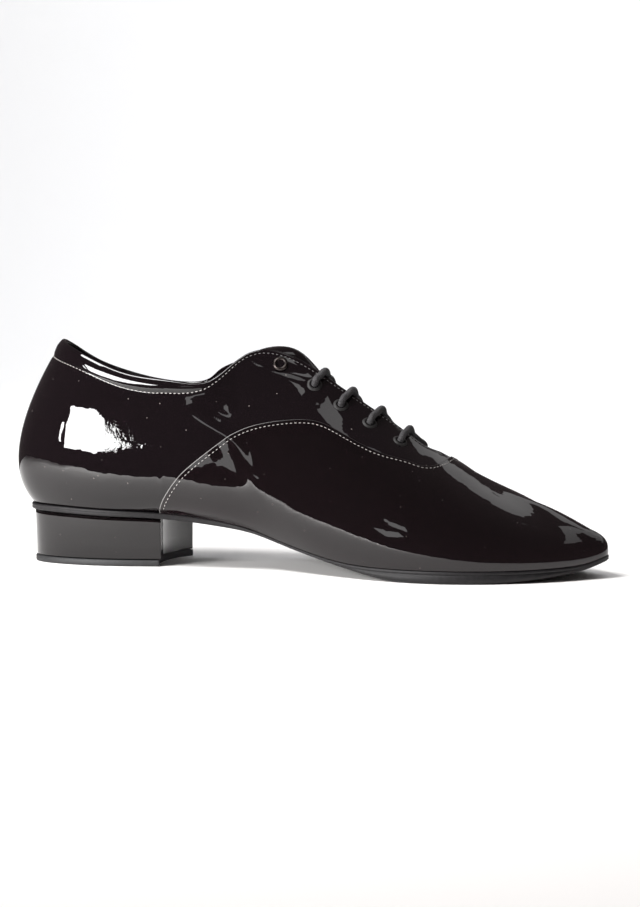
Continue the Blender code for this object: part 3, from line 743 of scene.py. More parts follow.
def build_quarters(material):
    """The quarters with their rolled rim, from under the vamp round the heel and back."""
    reach = SEAM_END_ROW + QUARTER_REACH
    rows = np.linspace(LOOP - reach, LOOP + reach, QUARTER_COLUMNS)
    columns = Columns(rows)
    rim = rim_radius(rows)
    top = columns.share_at(rim)
    low = np.clip(seam_share(rows) - UNDER_VAMP, 0.0, 1 - UNDER_VAMP)
    spread = 1 - (1 - np.linspace(0.0, 1.0, QUARTER_LEVELS)) ** LEVEL_CROWDING
    v = low[:, None] + (top - low)[:, None] * spread[None, :]
    points, normals = dressed_grid(rows, v, columns.depth(v))
    levels = [np.where((low > 0)[:, None], points[:, 0], tucked(rows))]
    levels += [points[:, j] for j in range(QUARTER_LEVELS)]
    up = unit(points[:, -1] - points[:, -2])
    side = normals[:, -1]
    side = unit(side - up * np.sum(side * up, axis=1)[:, None])
    centre = points[:, -1] - side * rim[:, None]
    for step in range(1, RIM_STEPS + 1):
        angle = math.pi * step / RIM_STEPS
        levels.append(centre + rim[:, None] * (side * math.cos(angle) + up * math.sin(angle)))
    levels.append(levels[-1] - up * RIM_TAIL * (rim[:, None] > 0))
    points = np.stack(levels, axis=1)
    faces = grid_faces(len(rows), points.shape[1])
    return new_piece("quarters", points.reshape(-1, 3), faces, material,
                     ["upper"], merge=WELD)


def build_lining(material):
    """Inside of the upper, from the rim down to the insole."""
    rows = np.linspace(0.0, LOOP, LINING_COLUMNS, endpoint=False)
    columns = Columns(rows)
    rim = rim_radius(rows)
    top = columns.share_at(rim + LINING_START * (rim > 0))
    spread = np.linspace(0.0, 1.0, LINING_LEVELS)
    v = (1 - spread)[None, :] * top[:, None]
    near_rim = np.exp(-columns.depth(v) / RIM_REACH)
    depth = np.where(rim[:, None] > 0, WALL + (2 * rim[:, None] - WALL) * near_rim, WALL)
    rows = np.repeat(rows, LINING_LEVELS)
    v = v.ravel()
    points = surface(rows, v) - surface_normals(rows, v) * depth.reshape(-1, 1)
    faces = grid_faces(LINING_COLUMNS, LINING_LEVELS, wrap=True)
    return new_piece("lining", points, faces, material, ["upper"])


def vamp_rows():
    """Rows of the vamp: along its seam on the medial side, round the toe and back."""
    medial = SEAM[0][0]
    lateral = LOOP - SEAM[1][0][::-1]
    toe = np.linspace(SEAM_END_ROW, ROW_COUNT - 1, TOE_STEPS)
    back = LOOP - toe[::-1]
    return np.concatenate([medial, toe[1:], back[1:], lateral[1:]])


def build_vamp(material):
    """The vamp, from the sole up to its seam and, ahead of the throat, to the ridge."""
    rows = vamp_rows()
    high = seam_share(rows)
    spread = np.linspace(0.0, 1.0, VAMP_LEVELS)
    points, _ = dressed_grid(rows, high[:, None] * spread[None, :], lift=VAMP_STEP)
    # Ahead of the throat both sides are smoothed across the ridge that they share
    ahead = medial_row(rows) > SEAM_END_ROW - DIRECTION_STEP
    ridge = (points[:, -1:] + points[::-1, -1:]) / 2
    across = np.concatenate([points[:, -RIDGE_LEVELS:-1], ridge,
                             points[::-1, -RIDGE_LEVELS:-1][:, ::-1]], axis=1)
    for _ in range(RIDGE_ROUNDS):
        across[:, 1:-1] = (across[:, :-2] + 2 * across[:, 1:-1] + across[:, 2:]) / 4
    points[ahead, -RIDGE_LEVELS:] = across[ahead, :RIDGE_LEVELS]
    points = np.concatenate([tucked(rows)[:, None], points], axis=1)
    faces = grid_faces(len(rows), points.shape[1])
    return new_piece("vamp", points.reshape(-1, 3), faces, material,
                     ["upper"], merge=WELD)


def seam_frames(side):
    """Places on the vamp's edge, the surface's normals there, and directions off the vamp."""
    row, share = SEAM[side]
    rows = row if side == 0 else LOOP - row
    points, normals = dressed(rows, share)
    off = unit(np.cross(normals, unit(np.gradient(points, axis=0))))
    return points, normals, -off if side else off


def build_vamp_edges(material):
    """The vamp's cut edge, rounded over onto the quarters."""
    # How far out in metres, and how far up as a share of VAMP_STEP
    profile = [(-0.00005, 1.0), (0.00018, 0.94), (0.00034, 0.70), (0.00040, 0.35), (0.00040, -0.3)]
    points = []
    faces = []
    for side in (0, 1):
        edge, normals, off = seam_frames(side)
        levels = [edge + off * out + normals * VAMP_STEP * up for out, up in profile]
        strip = np.stack(levels, axis=1)
        start = len(points)
        points += [tuple(p) for p in strip.reshape(-1, 3)]
        rim_faces = grid_faces(len(strip), len(profile), start=start)
        if side:
            rim_faces = [f[::-1] for f in rim_faces]
        faces += rim_faces
    return new_piece("vamp_edge", np.array(points), faces, material, ["upper"])


# Stitches

def stitch_mesh(name, routes, radius, material):
    """Short rounded stitches along routes of (points, normals)."""
    turns = circle(6)
    profile = [(-1.0, 0.05), (-0.8, 0.65), (0.0, 1.0), (0.8, 0.65), (1.0, 0.05)]
    points = []
    faces = []
    for line, normals in routes:
        walked = walk(line)
        number = int(walked[-1] / STITCH_PITCH)
        centres = (np.arange(number) + 0.5) * walked[-1] / number
        for centre in centres:
            middle = read_line(line, walked, centre)
            along = unit(read_line(line, walked, centre + AIM_STEP)
                         - read_line(line, walked, centre - AIM_STEP))
            normal = unit(read_line(normals, walked, centre))
            across = unit(np.cross(normal, along))
            start = len(points)
            for out, size in profile:
                points += [middle + along * out * STITCH_LENGTH / 2
                           + (across * cos + normal * STITCH_FLATTENED * sin) * radius * size
                           for cos, sin in turns]
            faces += grid_faces_rings(len(profile), len(turns), start)
    return new_piece(name, np.array(points), faces, material)


def grid_faces_rings(rings, sides, start):
    """Faces of a closed tube whose point j * sides + k is side k of ring j."""
    faces = [(a, b, c, d) for a, d, c, b in grid_faces(rings, sides, start=start, closed=True)]
    faces.append(tuple(start + k for k in reversed(range(sides))))
    faces.append(tuple(start + (rings - 1) * sides + k for k in range(sides)))
    return faces


def build_stitches(thread, seam_thread):
    """One run along the vamp's seam on each side, and one below the collar and facings."""
    routes = []
    for side in (0, 1):
        points, normals, off = seam_frames(side)
        line = points - off * SEAM_INSET + normals * (VAMP_STEP + VAMP_THREAD_LIFT)
        routes.append((line[3:-1], normals[3:-1]))
    stitch_mesh("vamp_stitches", routes, VAMP_THREAD, seam_thread)
    reach = THROAT_FOOT_ROW - 0.5
    rows = np.linspace(LOOP - reach, LOOP + reach, COLLAR_COLUMNS)
    columns = Columns(rows)
    share = columns.share_at(stitch_below(rows))
    points, normals = dressed(rows, share, stitch_below(rows))
    line = points + normals * COLLAR_THREAD_LIFT
    stitch_mesh("collar_stitches", [(line, normals)], COLLAR_THREAD, thread)


# Eyelets, laces and tongue

def point_below_top(row, distance):
    """Point and normal of the surface on a column, at an arc length below its top."""
    rows = np.array([row])
    share = Columns(rows).share_at(np.array([distance]))
    return surface(rows, share)[0], surface_normals(rows, share)[0]


def eyelet_place(index, side):
    row, inset = EYELETS[index]
    if side:
        row = LOOP - (row + LATERAL_SHIFT)
    return point_below_top(row, inset * EYELET_FLANGE)


def frame_on(normal):
    """Two directions across a normal."""
    across = unit(np.cross(normal, UP))
    return across, np.cross(normal, across)


def build_eyelets(metal, enamel):
    """Eyelets of both sides. The empty pair is bare metal, the laced ones are enamelled."""
    flange = EYELET_FLANGE / 2
    bore = EYELET_BORE / 2
    barrel = EYELET_BARREL / 2
    inner_end = -WALL - 0.0004
    # From the bore's inner end out over the rounded flange and back in along the barrel
    profile = [(bore, inner_end), (bore, 0.0), (bore + 0.0001, 0.0003),
               (bore + 0.0004, 0.00058), (bore + 0.0009, 0.00068), (flange - 0.0006, 0.0005),
               (flange - 0.0001, 0.00022), (flange, 0.0), (barrel, -0.0001), (barrel, inner_end)]
    turns = circle(40)
    for side, name in ((0, "medial"), (1, "lateral")):
        for index in range(len(EYELETS)):
            centre, normal = eyelet_place(index, side)
            across, other = frame_on(normal)
            finish = metal if index < EMPTY_PAIRS else enamel
            points = [centre + (across * cos + other * sin) * out + normal * high
                      for cos, sin in turns for out, high in profile]
            faces = grid_faces(len(turns), len(profile), wrap=True)
            node = f"eyelet_{name}_{index + 1}"
            new_piece(f"ring_{name}_{index + 1}", np.array(points), faces, finish,
                      [node])


def lace_route(index):
    """Route of one bar: up out of the medial eyelet, over the crest, down the lateral facing."""
    radius = LACE_DIAMETER / 2
    row, inset = EYELETS[index]
    arc = inset * EYELET_FLANGE
    halves = []
    for side in (0, 1):
        high = radius + LACE_HIGH[side]
        low = radius + LACE_LOW[side]
        centre, normal = eyelet_place(index, side)
        line = LOOP - (row + LATERAL_SHIFT) if side else row
        edge = surface(np.array([line]), np.array([1.0]))[0]
        toward = edge - centre
        toward = unit(toward - normal * toward.dot(normal))
        half = [centre - normal * (WALL + LACE_END), centre - normal * LACE_SUNK]
        for step in range(1, 4):
            angle = math.pi / 2 * step / 3
            half.append(centre + toward * LACE_BEND * (1 - math.cos(angle))
                        + normal * high * math.sin(angle))
        for left in (0.5, 0.25, 0.0):
            shift = LATERAL_SHIFT / 2 * (1 - left)
            here = LOOP - (row + LATERAL_SHIFT - shift) if side else row + shift
            point, up = point_below_top(here, arc * left)
            half.append(point + up * (low + (high - low) * left))
        halves.append(half)
    medial, lateral = halves
    span = medial[-1] * 0.5 + lateral[-1] * 0.5 - UP * LACE_DIP
    return np.array(medial + [span] + lateral[::-1])


def braided_cord(name, route, material, replaced):
    """Round cord along a route, with its braid's strands raised on it."""
    line = curve_through(route, BRAID_RINGS)
    tangent = unit(np.gradient(line, axis=0))
    normal = unit(np.cross(tangent[0], np.array([0.3, 0.1, 1.0])))
    points = []
    uv = []
    for centre, direction, length in zip(line, tangent, walk(line)):
        normal = unit(normal - direction * normal.dot(direction))
        other = np.cross(direction, normal)
        for k in range(CORD_SIDES):
            angle = 2 * math.pi * k / CORD_SIDES
            weave = math.cos(STRANDS / 2 * angle + BRAID_TWIST * length)
            weave *= math.cos(STRANDS / 2 * angle - BRAID_TWIST * length)
            size = LACE_DIAMETER / 2 * (BRAID_CORE + BRAID_RISE * weave)
            points.append(centre + (normal * math.cos(angle) + other * math.sin(angle)) * size)
            uv.append((length * 1000, k / CORD_SIDES))
    faces = [f[::-1] for f in grid_faces_rings(len(line), CORD_SIDES, 0)]
    return new_piece(name, np.array(points), faces, material, replaced, uv=uv)


def build_laces(cord):
    for index in range(EMPTY_PAIRS, len(EYELETS)):
        braided_cord(f"lace_{index}", lace_route(index), cord, [f"lace_bar_{index}"])


def build_tongue(material):
    """The tongue's flap, under the facings and standing up a little between them."""
    rows = np.linspace(TONGUE_ROWS[0, 0], TONGUE_ROWS[-1, 0], TONGUE_RINGS)
    widths = spline(TONGUE_ROWS[:, 0], TONGUE_ROWS[:, 1] * TONGUE_WIDTH, rows)
    crowns = spline(TONGUE_ROWS[:, 0], TONGUE_ROWS[:, 2] * TONGUE_WIDTH, rows)
    depth = WALL + TONGUE_GAP
    top = []
    sides = []
    for lines in (rows, LOOP - rows):
        columns = Columns(lines)
        flanks = []
        for part_way in (1.0, 0.66, 0.33, 0.0):
            v = columns.share_at(widths * part_way)
            flanks.append(surface(lines, v) - surface_normals(lines, v) * depth)
        sides.append(np.stack(flanks, axis=1))
    for medial, lateral, crown in zip(*sides, crowns):
        medial = list(medial)
        lateral = list(lateral)
        middle = (medial[-1] + lateral[-1]) / 2
        if np.linalg.norm(medial[-1] - lateral[-1]) / 2 < TONGUE_GAP:
            medial[-1] = medial[-2] + (middle - medial[-2]) * TONGUE_EASE
            lateral[-1] = lateral[-2] + (middle - lateral[-2]) * TONGUE_EASE
        middle = middle + UP * crown
        top.append(curve_through(medial + [middle] + lateral[::-1], TONGUE_COLUMNS))
    top = np.array(top)
    along = np.gradient(top, axis=0)
    sideways = np.gradient(top, axis=1)
    normals = unit(np.cross(along, sideways))
    normals[normals[:, :, 2] < 0] *= -1
    under = top - normals * TONGUE_THICKNESS
    share = np.linspace(0.0, 1.0, TONGUE_COLUMNS)[None, :, None]
    upper_end = (1 - change(rows, ROLL_END, ROLL_FADE))[:, None, None]
    roll = np.exp(-((share - ROLL_AT) / ROLL_HALF) ** 2)
    top = top + normals * TONGUE_ROLL * upper_end * roll
    edge_out = (top + under) / 2
    loops = []
    for k in range(TONGUE_RINGS):
        left = edge_out[k, 0] - unit(sideways[k, 0]) * TONGUE_THICKNESS / 2
        right = edge_out[k, -1] + unit(sideways[k, -1]) * TONGUE_THICKNESS / 2
        loops.append(np.concatenate([top[k], [right], under[k, ::-1], [left]]))
    loops = np.array(loops)
    size = loops.shape[1]
    points = loops.reshape(-1, 3)
    faces = grid_faces(TONGUE_RINGS, size, closed=True)
    faces.append(tuple(range(size)))
    faces.append(tuple((TONGUE_RINGS - 1) * size + j for j in reversed(range(size))))
    return new_piece("tongue_flap", points, faces, material, ["tongue"])


# Sole, sock and heel

def outline_rows(count=OUTLINE_STEPS):
    return np.linspace(0.0, LOOP, count, endpoint=False)


def feather_ring(margin, rows):
    last = Last(rows)
    return last.feather[:, :2] + last.outward[:, :2] * margin


def spine_under(rows):
    ring = feather_ring(0.0, rows)
    count = len(rows)
    mirror = [(count - i) % count for i in range(count)]
    spine = (ring + ring[mirror]) / 2
    half = count // 2
    x = np.clip(spine[:, 0], *SPINE_ENDS)
    y = spline(spine[:half + 1, 0], spine[:half + 1, 1], x)
    return np.column_stack([x, y])


def tread_depth(x):
    return spline(CROWN_ROWS[:, 0] * LENGTH, CROWN_ROWS[:, 1] * SOLE_THICKNESS, x)


def ring_piece(name, rings, material, replaced):
    """Closed skin through rings that run from the middle below out, up and in again."""
    count = len(rings[0])
    points = np.stack(rings, axis=1).reshape(-1, 3)
    faces = grid_faces(count, len(rings), wrap=True)
    return new_piece(name, points, faces, material, replaced, merge=TINY)


def build_sole(material):
    """Outsole: crowned tread, rounded edge, and a split-off upper layer where it is thick."""
    rows = outline_rows()
    spine = spine_under(rows)
    outer = feather_ring(SOLE_MARGIN - TREAD_INSET, rows)
    rings = []
    for share in (0.0, 0.25, 0.5, 0.75, 0.9, 1.0):
        flat = spine + (outer - spine) * share
        x = flat[:, 0]
        z = sole_top(x) - sole_edge_thickness(x) - tread_depth(x) * (1 - share ** 2)
        rings.append(np.column_stack([flat, np.maximum(z, 0.0)]))
    edge = feather_ring(SOLE_MARGIN, rows)
    top = sole_top(edge[:, 0])
    thick = sole_edge_thickness(edge[:, 0])
    layered = smooth_step((thick - LAYERED_FROM) / LAYERED_FROM)
    groove = edge - Last(rows).outward[:, :2] * (SPLIT_GROOVE * layered)[:, None]
    split = np.minimum(LAYER, thick * 0.5)

    def add_ring(out, z):
        rings.append(np.column_stack([feather_ring(SOLE_MARGIN * out, rows), z]))

    for out, down in ((0.25, 0.9999), (0.8, 0.86), (1.0, 0.6)):
        add_ring(out, top - split - (thick - split) * down)
    add_ring(0.95, top - split - LIP_DROP)
    rings.append(np.column_stack([groove, top - split]))
    for out, down in ((1.0, 0.8), (1.05, 0.5), (0.9, 0.12), (0.4, 0.0), (-3.0, 0.0)):
        add_ring(out, top - split * down)
    ring_piece("sole", rings, material, ["outsole"])


def build_sock(material):
    """The sock over the insole, a little raised along its rim."""
    rows = outline_rows(SOCK_STEPS)
    spine = spine_under(rows)
    rings = []
    base = FIT_GAP + INSOLE_THICKNESS
    wall = -(WALL + FIT_GAP)
    for margin, rise in ((wall, -SOCK_THICKNESS), (wall, 0.0), (-SOCK_RIM, 2 * SOCK_LIFT)):
        ring = feather_ring(margin, rows)
        rings.append(np.column_stack([ring, sole_top(ring[:, 0]) + base + rise]))
    inner = feather_ring(-2 * SOCK_RIM, rows)
    for share in (1.0, 0.8, 0.6, 0.4, 0.2, 0.0):
        flat = spine + (inner - spine) * share
        rings.append(np.column_stack([flat, sole_top(flat[:, 0]) + base + SOCK_LIFT]))
    ring_piece("sock", rings, material, ["insole"])


def heel_outline(inset, folded):
    """Outline of the heel, its breast hollow and its corners slightly rounded."""
    breast = HEEL_BACK + HEEL_LENGTH
    rows = outline_rows(HEEL_STEPS)
    outline = feather_ring(SOLE_MARGIN - inset, rows)
    half = len(rows) // 2
    medial = outline[:half + 1]
    lateral = np.concatenate([outline[half:], outline[:1]])
    near = np.interp(breast, medial[:, 0], medial[:, 1])
    far = np.interp(-breast, -lateral[:, 0], lateral[:, 1])
    loop = [tuple(p) for side in (lateral[:-1], medial) for p in side
            if p[0] < breast - CORNER_GAP]
    for k in range(BREAST_STEPS + 1):
        t = k / BREAST_STEPS
        fold = BREAST_FOLD * (t < BREAST_FOLD_END) * folded
        loop.append((breast - BREAST_HOLLOW * (1 - (2 * t - 1) ** 2) + fold,
                     near + (far - near) * t))
    loop = np.array(loop + loop[:1])
    walked = walk(loop)
    even = read_line(loop, walked, np.linspace(0.0, walked[-1], OUTLINE_STEPS, endpoint=False))
    for _ in range(CORNER_ROUNDS):
        even = (np.roll(even, 1, axis=0) + 2 * even + np.roll(even, -1, axis=0)) / 4
    return even


def heel_rings(levels, folded):
    """Rings of a heel piece from (inset, height function) levels, closed to its middle."""
    middle = np.array([HEEL_BACK + HEEL_MIDDLE, 0.0])
    rings = []
    for inset, height in levels:
        flat = heel_outline(inset, folded)
        rings.append(np.column_stack([flat, height(flat[:, 0])]))
    ends = []
    for _, height in (levels[0], levels[-1]):
        ends.append(np.tile([*middle, height(middle[:1])[0]], (len(rings[0]), 1)))
    return [ends[0], *rings, ends[1]]


def build_heel(cover, rubber):
    """Covered block, whose levels are shares of its height, and the top piece under it."""
    floor = TOP_PIECE_THICKNESS + BLOCK_GAP

    def level(share):
        return lambda x: floor + (sole_top(x) - sole_edge_thickness(x) - SEAT_GAP - floor) * share

    levels = [(HEEL_INSET + out, level(share)) for out, share in (
        (0.0005, 0.0), (0.0001, 0.012), (0.0, 0.04), (-0.0001, 0.3), (-0.0003, 0.6),
        (-0.0005, 0.9), (-0.0005, 1.0))]
    block = ring_piece("heel_block", heel_rings(levels, True), cover, ["heel"])
    flare = HEEL_INSET - TOP_PIECE_FLARE

    def flat(height):
        return lambda x: np.full(len(x), height)

    levels = [(flare + out, flat(height)) for out, height in (
        (0.0004, 0.0), (0.0001, 0.0003), (0.0, 0.0008), (0.0, 0.0024), (0.0003, 0.0029),
        (0.0007, 0.0031))]
    ring_piece("heel_tip", heel_rings(levels, False), rubber, ["top_piece"])
    return block


# Materials

RAMP_MIDDLE = 0.5


def material_nodes(name, color, roughness, metallic=0.0, coat=0.0, coat_roughness=0.03):
    material = bpy.data.materials.new(name)
    material.use_nodes = True
    tree = material.node_tree
    shader = tree.nodes["Principled BSDF"]
    shader.inputs["Base Color"].default_value = (*color, 1.0)
    shader.inputs["Roughness"].default_value = roughness
    shader.inputs["Metallic"].default_value = metallic
    shader.inputs["Coat Weight"].default_value = coat
    shader.inputs["Coat Roughness"].default_value = coat_roughness
    return material, tree, shader


def add_node(tree, kind, inputs=(), **settings):
    node = tree.nodes.new(kind)
    for key, value in settings.items():
        setattr(node, key, value)
    for key, value in dict(inputs).items():
        node.inputs[key].default_value = value
    return node


def object_place(tree):
    return tree.nodes.new("ShaderNodeTexCoord").outputs["Object"]


def noise(tree, coordinates, scale, detail=2.0, roughness=0.5):
    node = add_node(tree, "ShaderNodeTexNoise",
                    {"Scale": scale, "Detail": detail, "Roughness": roughness})
    tree.links.new(coordinates, node.inputs["Vector"])
    return node.outputs["Fac"]


def ramp(tree, value, stops):
    node = tree.nodes.new("ShaderNodeValToRGB")
    elements = node.color_ramp.elements
    while len(elements) < len(stops):
        elements.new(0.5)
    for element, (position, color) in zip(elements, stops):
        element.position = position
        element.color = (*color, 1.0)
    tree.links.new(value, node.inputs["Fac"])
    return node.outputs["Color"]


def bump(tree, height, distance, below=None):
    node = add_node(tree, "ShaderNodeBump", {"Strength": 1.0, "Distance": distance})
    tree.links.new(height, node.inputs["Height"])
    if below is not None:
        tree.links.new(below, node.inputs["Normal"])
    return node.outputs["Normal"]


def patent(name, color, wave=0.00016, ripple=0.00005, peel=0.0000025):
    """Black patent: dark leather under a thick clear coat, faintly wavy, with dust on it."""
    material, tree, shader = material_nodes(name, color, 0.5, coat=1.0, coat_roughness=0.012)
    shader.inputs["Specular IOR Level"].default_value = 0.0
    where = object_place(tree)
    normal = None
    for scale, height in ((55.0, wave), (190.0, ripple), (700.0, peel)):
        normal = bump(tree, noise(tree, where, scale, 1.0), height, normal)
    # Scuffed zone on the counter, where a highlight frays out
    away = add_node(tree, "ShaderNodeVectorMath", {1: SCUFF_AT}, operation="DISTANCE")
    tree.links.new(where, away.inputs[0])
    zone = ramp(tree, away.outputs["Value"], [(0.004, (1.0,) * 3), (0.012, (0.0,) * 3)])
    scuff = add_node(tree, "ShaderNodeMath", operation="MULTIPLY")
    tree.links.new(zone, scuff.inputs[0])
    tree.links.new(noise(tree, where, 500.0, 2.0, 0.6), scuff.inputs[1])
    normal = bump(tree, scuff.outputs["Value"], 0.00005, normal)
    tree.links.new(normal, shader.inputs["Coat Normal"])
    specks = add_node(tree, "ShaderNodeTexVoronoi", {"Scale": 170.0, "Randomness": 1.0})
    tree.links.new(where, specks.inputs["Vector"])
    dust = ramp(tree, specks.outputs["Distance"], [(0.035, (0.16, 0.14, 0.13)), (0.06, color)])
    tree.links.new(dust, shader.inputs["Base Color"])
    return material


def plain(name, color, roughness, scale, distance, metallic=0.0, spread=0.25):
    """Grained surface whose colour and height follow one noise."""
    material, tree, shader = material_nodes(name, color, roughness, metallic)
    where = object_place(tree)
    grain = noise(tree, where, scale, 4.0, 0.6)
    low = tuple(c * (1 - spread) for c in color)
    high = tuple(c * (1 + spread) for c in color)
    tree.links.new(ramp(tree, grain, [(0.35, low), (0.65, high)]), shader.inputs["Base Color"])
    tree.links.new(bump(tree, grain, distance), shader.inputs["Normal"])
    return material


def shade_along(material, span, near, far):
    """Colour that turns from near to far along the shoe, over a span of X in metres: painted light
    and shade along it.
    """
    tree = material.node_tree
    split = tree.nodes.new("ShaderNodeSeparateXYZ")
    tree.links.new(object_place(tree), split.inputs[0])
    # A ramp reads from 0 to 1, so X is moved up to its middle
    stops = [(span[0] + RAMP_MIDDLE, near), (span[1] + RAMP_MIDDLE, far)]
    shift = add_node(tree, "ShaderNodeMath", {1: RAMP_MIDDLE}, operation="ADD")
    tree.links.new(split.outputs["X"], shift.inputs[0])
    shade = ramp(tree, shift.outputs["Value"], stops)
    tree.links.new(shade, tree.nodes["Principled BSDF"].inputs["Base Color"])


# The piece, the studio and the camera

KEY_AT = (-0.25, -0.445, 0.18)
KEY_TARGET = (0.007, -0.032, 0.066)
KEY_ACROSS = (0.85, -0.529, 0.0)
KEY_SIZE = (0.205, 0.16)
KEY_LEFT = -0.135
KEY_STRIP = (0.018, 0.080)
STRIP_AWAY = 0.030
STRIP_DROP = 0.010
KEY_RADIANCE = 30.0
TAPER = 0.11
TAPER_PANELS = 14
TAPER_DROP = 0.022
TAPER_CURVE = 1.8
CARD_AWAY = 0.25
CARD_GREY = 2.3
CAMERA_AT = (0.5196, -1.4311, 0.1720)
CAMERA_AZIMUTH = 16.0
CAMERA_ELEVATION = 4.5
CAMERA_LENS = 122.65
SCUFF_AT = (0.018, -0.031, 0.064)

# The same patent in two shades: the quarters and tongue take a darker copy and the vamp a lighter
# one, painted shade and painted light that even out the key softbox, which lights the quarters and
# not the vamp.
leather = patent("patent", (0.0035, 0.0022, 0.0028))
vamp_leather_lightened = patent("vamp_patent_lightened", (0.0095, 0.0052, 0.0066))
# The vamp's cut edge: a grey for its raw edge together with a painted highlight where it catches
# the light, fading to near black ahead, painted shade where the edge lies in shade.
cut_edge_lit_and_shaded = plain("cut_edge_lit_and_shaded", (0.16, 0.15, 0.15), 0.5, 900.0, 0.00004)
shade_along(cut_edge_lit_and_shaded, (0.060, 0.098), (0.17, 0.165, 0.16), (0.012, 0.010, 0.010))
lining_leather = plain("lining_leather", (0.018, 0.017, 0.017), 0.6, 700.0, 0.00005)
# The collar's thread is lighter along the collar, where its stitches catch the light, and darker
# ahead on the facings: painted light and painted shade on one thread.
thread = plain("thread", (0.42, 0.40, 0.38), 0.6, 3000.0, 0.00004)
shade_along(thread, (0.055, 0.080), (0.42, 0.40, 0.38), (0.09, 0.085, 0.085))
seam_thread = plain("seam_thread", (0.40, 0.38, 0.36), 0.6, 3000.0, 0.00004)
cord_fibre = plain("cord_fibre", (0.030, 0.028, 0.030), 0.75, 1500.0, 0.00025, spread=0.7)
eyelet_metal = plain("eyelet_metal", (0.045, 0.038, 0.036), 0.30, 800.0, 0.000004, metallic=1.0)
eyelet_enamel = plain("eyelet_enamel", (0.005, 0.004, 0.004), 0.6, 800.0, 0.000004)
sole_paint = plain("sole_paint", (0.012, 0.011, 0.012), 0.55, 500.0, 0.00004)
sole_shader = sole_paint.node_tree.nodes["Principled BSDF"]
sole_shader.inputs["Specular IOR Level"].default_value = 0.3
heel_patent = patent("heel_patent", (0.0065, 0.0036, 0.0046), wave=0.00003)
rubber = plain("rubber", (0.016, 0.016, 0.017), 0.6, 900.0, 0.00006)
sock_cloth = plain("sock_cloth", (0.02, 0.02, 0.02), 0.85, 1200.0, 0.0001)

quarters = build_quarters(leather)
build_lining(lining_leather)
vamp = build_vamp(vamp_leather_lightened)
build_vamp_edges(cut_edge_lit_and_shaded)
build_stitches(thread, seam_thread)
build_eyelets(eyelet_metal, eyelet_enamel)
build_laces(cord_fibre)
build_tongue(leather)
build_sole(sole_paint)
build_sock(sock_cloth)
heel = build_heel(heel_patent, rubber)


def stage_sheet(name, profile, material):
    """Sheet swept across the set through (y, z) points."""
    points = [(x, y, z) for x in (-SET_HALF, SET_HALF) for y, z in profile]
    count = len(profile)
    faces = [(j, count + j, count + j + 1, j + 1) for j in range(count - 1)]
    sheet = add_object(name, new_mesh(name, points, faces, material))
    return sheet


def build_stage():
    """White floor round the shoe, and a white surround that the patent doesn't mirror."""
    material, _, shader = material_nodes("backdrop", (0.90, 0.885, 0.87), 0.9)
    shader.inputs["Specular IOR Level"].default_value = 0.0
    stage_sheet("floor", [(FLOOR_FRONT, 0.0), (FLOOR_BACK, 0.0)], material)
    front = [(SET_FRONT, -FLOOR_STEP), (FLOOR_FRONT + FLOOR_LAP, -FLOOR_STEP)]
    rear = [(FLOOR_BACK - FLOOR_LAP, -FLOOR_STEP), (COVE_AT, -FLOOR_STEP)]
    for k in range(1, COVE_STEPS + 1):
        angle = math.pi / 2 * k / COVE_STEPS
        rear.append((COVE_AT + COVE_RADIUS * math.sin(angle),
                     COVE_RADIUS * (1 - math.cos(angle))))
    rear.append((COVE_AT + COVE_RADIUS, WALL_TOP))
    for name, profile in (("floor_front", front), ("backdrop", rear)):
        stage_sheet(name, profile, material).visible_glossy = False


def add_light(name, location, target, size, radiance, color=(1.0, 1.0, 1.0), mirrored=True,
              turn=0.0):
    """Softbox of an even radiance; one that isn't mirrored leaves no highlight."""
    light = bpy.data.lights.new(name, "AREA")
    light.shape = "RECTANGLE"
    light.size, light.size_y = size
    light.energy = radiance * math.pi * size[0] * size[1]
    light.color = color
    obj = add_object(name, light)
    obj.location = location
    aim = Vector(target) - Vector(location)
    facing = aim.to_track_quat("-Z", "Y") @ Quaternion((0.0, 0.0, 1.0), math.radians(turn))
    obj.rotation_euler = facing.to_euler()
    obj.visible_glossy = mirrored
    obj.visible_camera = False
    return obj


def link_lights(lights, pieces, state):
    """Lights that reach only some pieces (INCLUDE), or all but those (EXCLUDE)."""
    chosen = bpy.data.collections.new("chosen")
    for number, piece in enumerate(pieces):
        chosen.objects.link(piece)
        chosen.collection_objects[number].light_linking.link_state = state
    for light in lights:
        light.light_linking.receiver_collection = chosen


def direction(azimuth, elevation):
    """Way to a place round the shoe, by degrees from straight in front and up."""
    azimuth, elevation = math.radians(azimuth), math.radians(elevation)
    return Vector((math.sin(azimuth) * math.cos(elevation),
                   -math.cos(azimuth) * math.cos(elevation), math.sin(elevation)))


def card(name, seen_from, azimuth, elevation, size, turn, pieces):
    """Small grey card that a spot on some pieces mirrors."""
    spot = Vector(seen_from)
    place_at = spot + direction(azimuth, elevation) * CARD_AWAY
    link_lights([add_light(name, place_at, spot, size, CARD_GREY, turn=turn)], pieces, "INCLUDE")


def build_camera():
    azimuth = math.radians(CAMERA_AZIMUTH)
    right = Vector((math.cos(azimuth), math.sin(azimuth), 0.0))
    back = direction(CAMERA_AZIMUTH, CAMERA_ELEVATION)
    camera = bpy.data.cameras.new("camera")
    camera.lens = CAMERA_LENS
    camera.sensor_width = 36.0
    obj = add_object("camera", camera)
    turned = Matrix((right, back.cross(right), back)).transposed().to_4x4()
    obj.matrix_world = Matrix.Translation(CAMERA_AT) @ turned
    bpy.context.scene.camera = obj


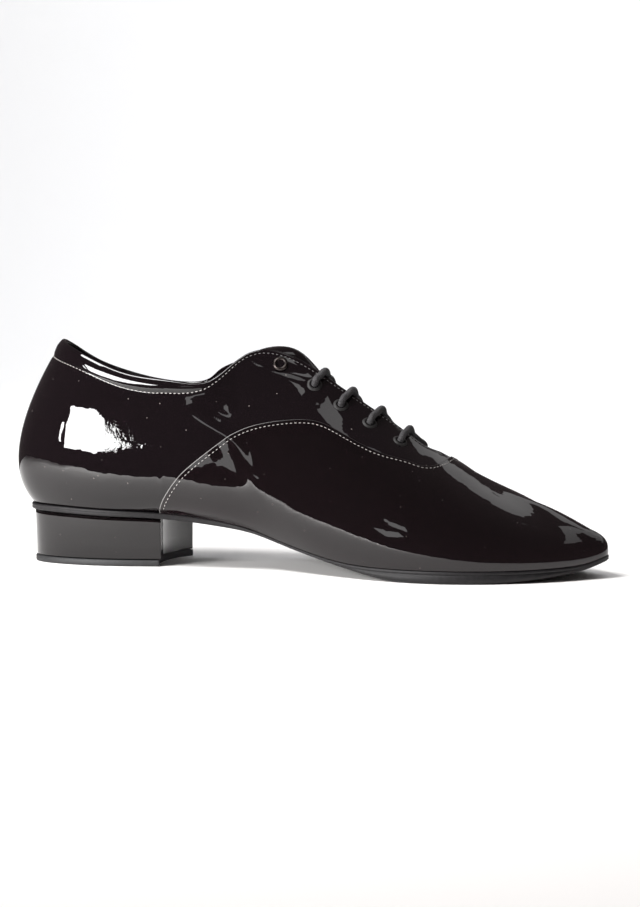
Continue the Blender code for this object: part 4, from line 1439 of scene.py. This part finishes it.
build_stage()
build_camera()
bpy.context.scene.view_settings.view_transform = "Standard"
world = bpy.data.worlds.new("studio")
world.use_nodes = True
world.node_tree.nodes["Background"].inputs["Color"].default_value = (0.10, 0.085, 0.085, 1.0)
bpy.context.scene.world = world
add_light("wall_wash", (0.1, 0.9, 1.5), (0.1, 2.0, 0.5), (2.4, 0.8), 4.05,
          color=(0.89, 0.945, 1.0), mirrored=False)
add_light("floor_wash", (0.0, -0.2, 2.0), (0.0, 0.1, 0.0), (2.0, 1.4), 0.98, mirrored=False)
overhead = add_light("overhead", (-0.334, -0.443, 1.162), (0.0, -0.03, 0.09), (0.5, 0.5), 24.0)
add_light("rear_card", (0.55, 0.75, 0.72), (0.2, -0.02, 0.04), (1.4, 0.17), 0.7)
top_card = add_light("top_card", (0.187, -0.158, 0.857), (0.076, -0.016, 0.077), (0.2, 0.14),
                     1.6)
# The key softbox gets lower towards the camera, and a thin one stands beyond its far edge
panels = [(KEY_LEFT - STRIP_AWAY, *KEY_STRIP, STRIP_DROP),
          (KEY_LEFT + KEY_SIZE[0] / 2, *KEY_SIZE, 0.0)]
for number in range(TAPER_PANELS):
    share = (number + 0.5) / TAPER_PANELS
    panels.append((KEY_LEFT + KEY_SIZE[0] + TAPER * share, TAPER / TAPER_PANELS,
                   KEY_SIZE[1] * (1 - share ** TAPER_CURVE), TAPER_DROP * share))
aim = Vector(KEY_TARGET) - Vector(KEY_AT)
softbox = []
for number, (across, breadth, height, lower) in enumerate(panels):
    middle = Vector(KEY_AT) + Vector(KEY_ACROSS) * across - Vector((0.0, 0.0, lower))
    softbox.append(add_light(f"key_{number}", middle, middle + aim, (breadth, height),
                             KEY_RADIANCE))
link_lights(softbox + [overhead], [vamp, heel], "EXCLUDE")
link_lights([top_card], [vamp, heel], "EXCLUDE")
add_light("toe_card", (0.70, 0.54, 0.775), (0.235, -0.02, 0.02), (0.5, 0.22), 0.7)
card("fold_card", (0.060, -0.028, 0.067), -3.0, 22.0, (0.052, 0.028), 0.0, [quarters, vamp])
card("blob_card", (0.080, -0.030, 0.050), -15.0, 11.0, (0.070, 0.028), 32.0, [vamp])
card("eyelet_card", (0.097, -0.011, 0.094), 15.0, 54.0, (0.032, 0.055), 0.0, [quarters])
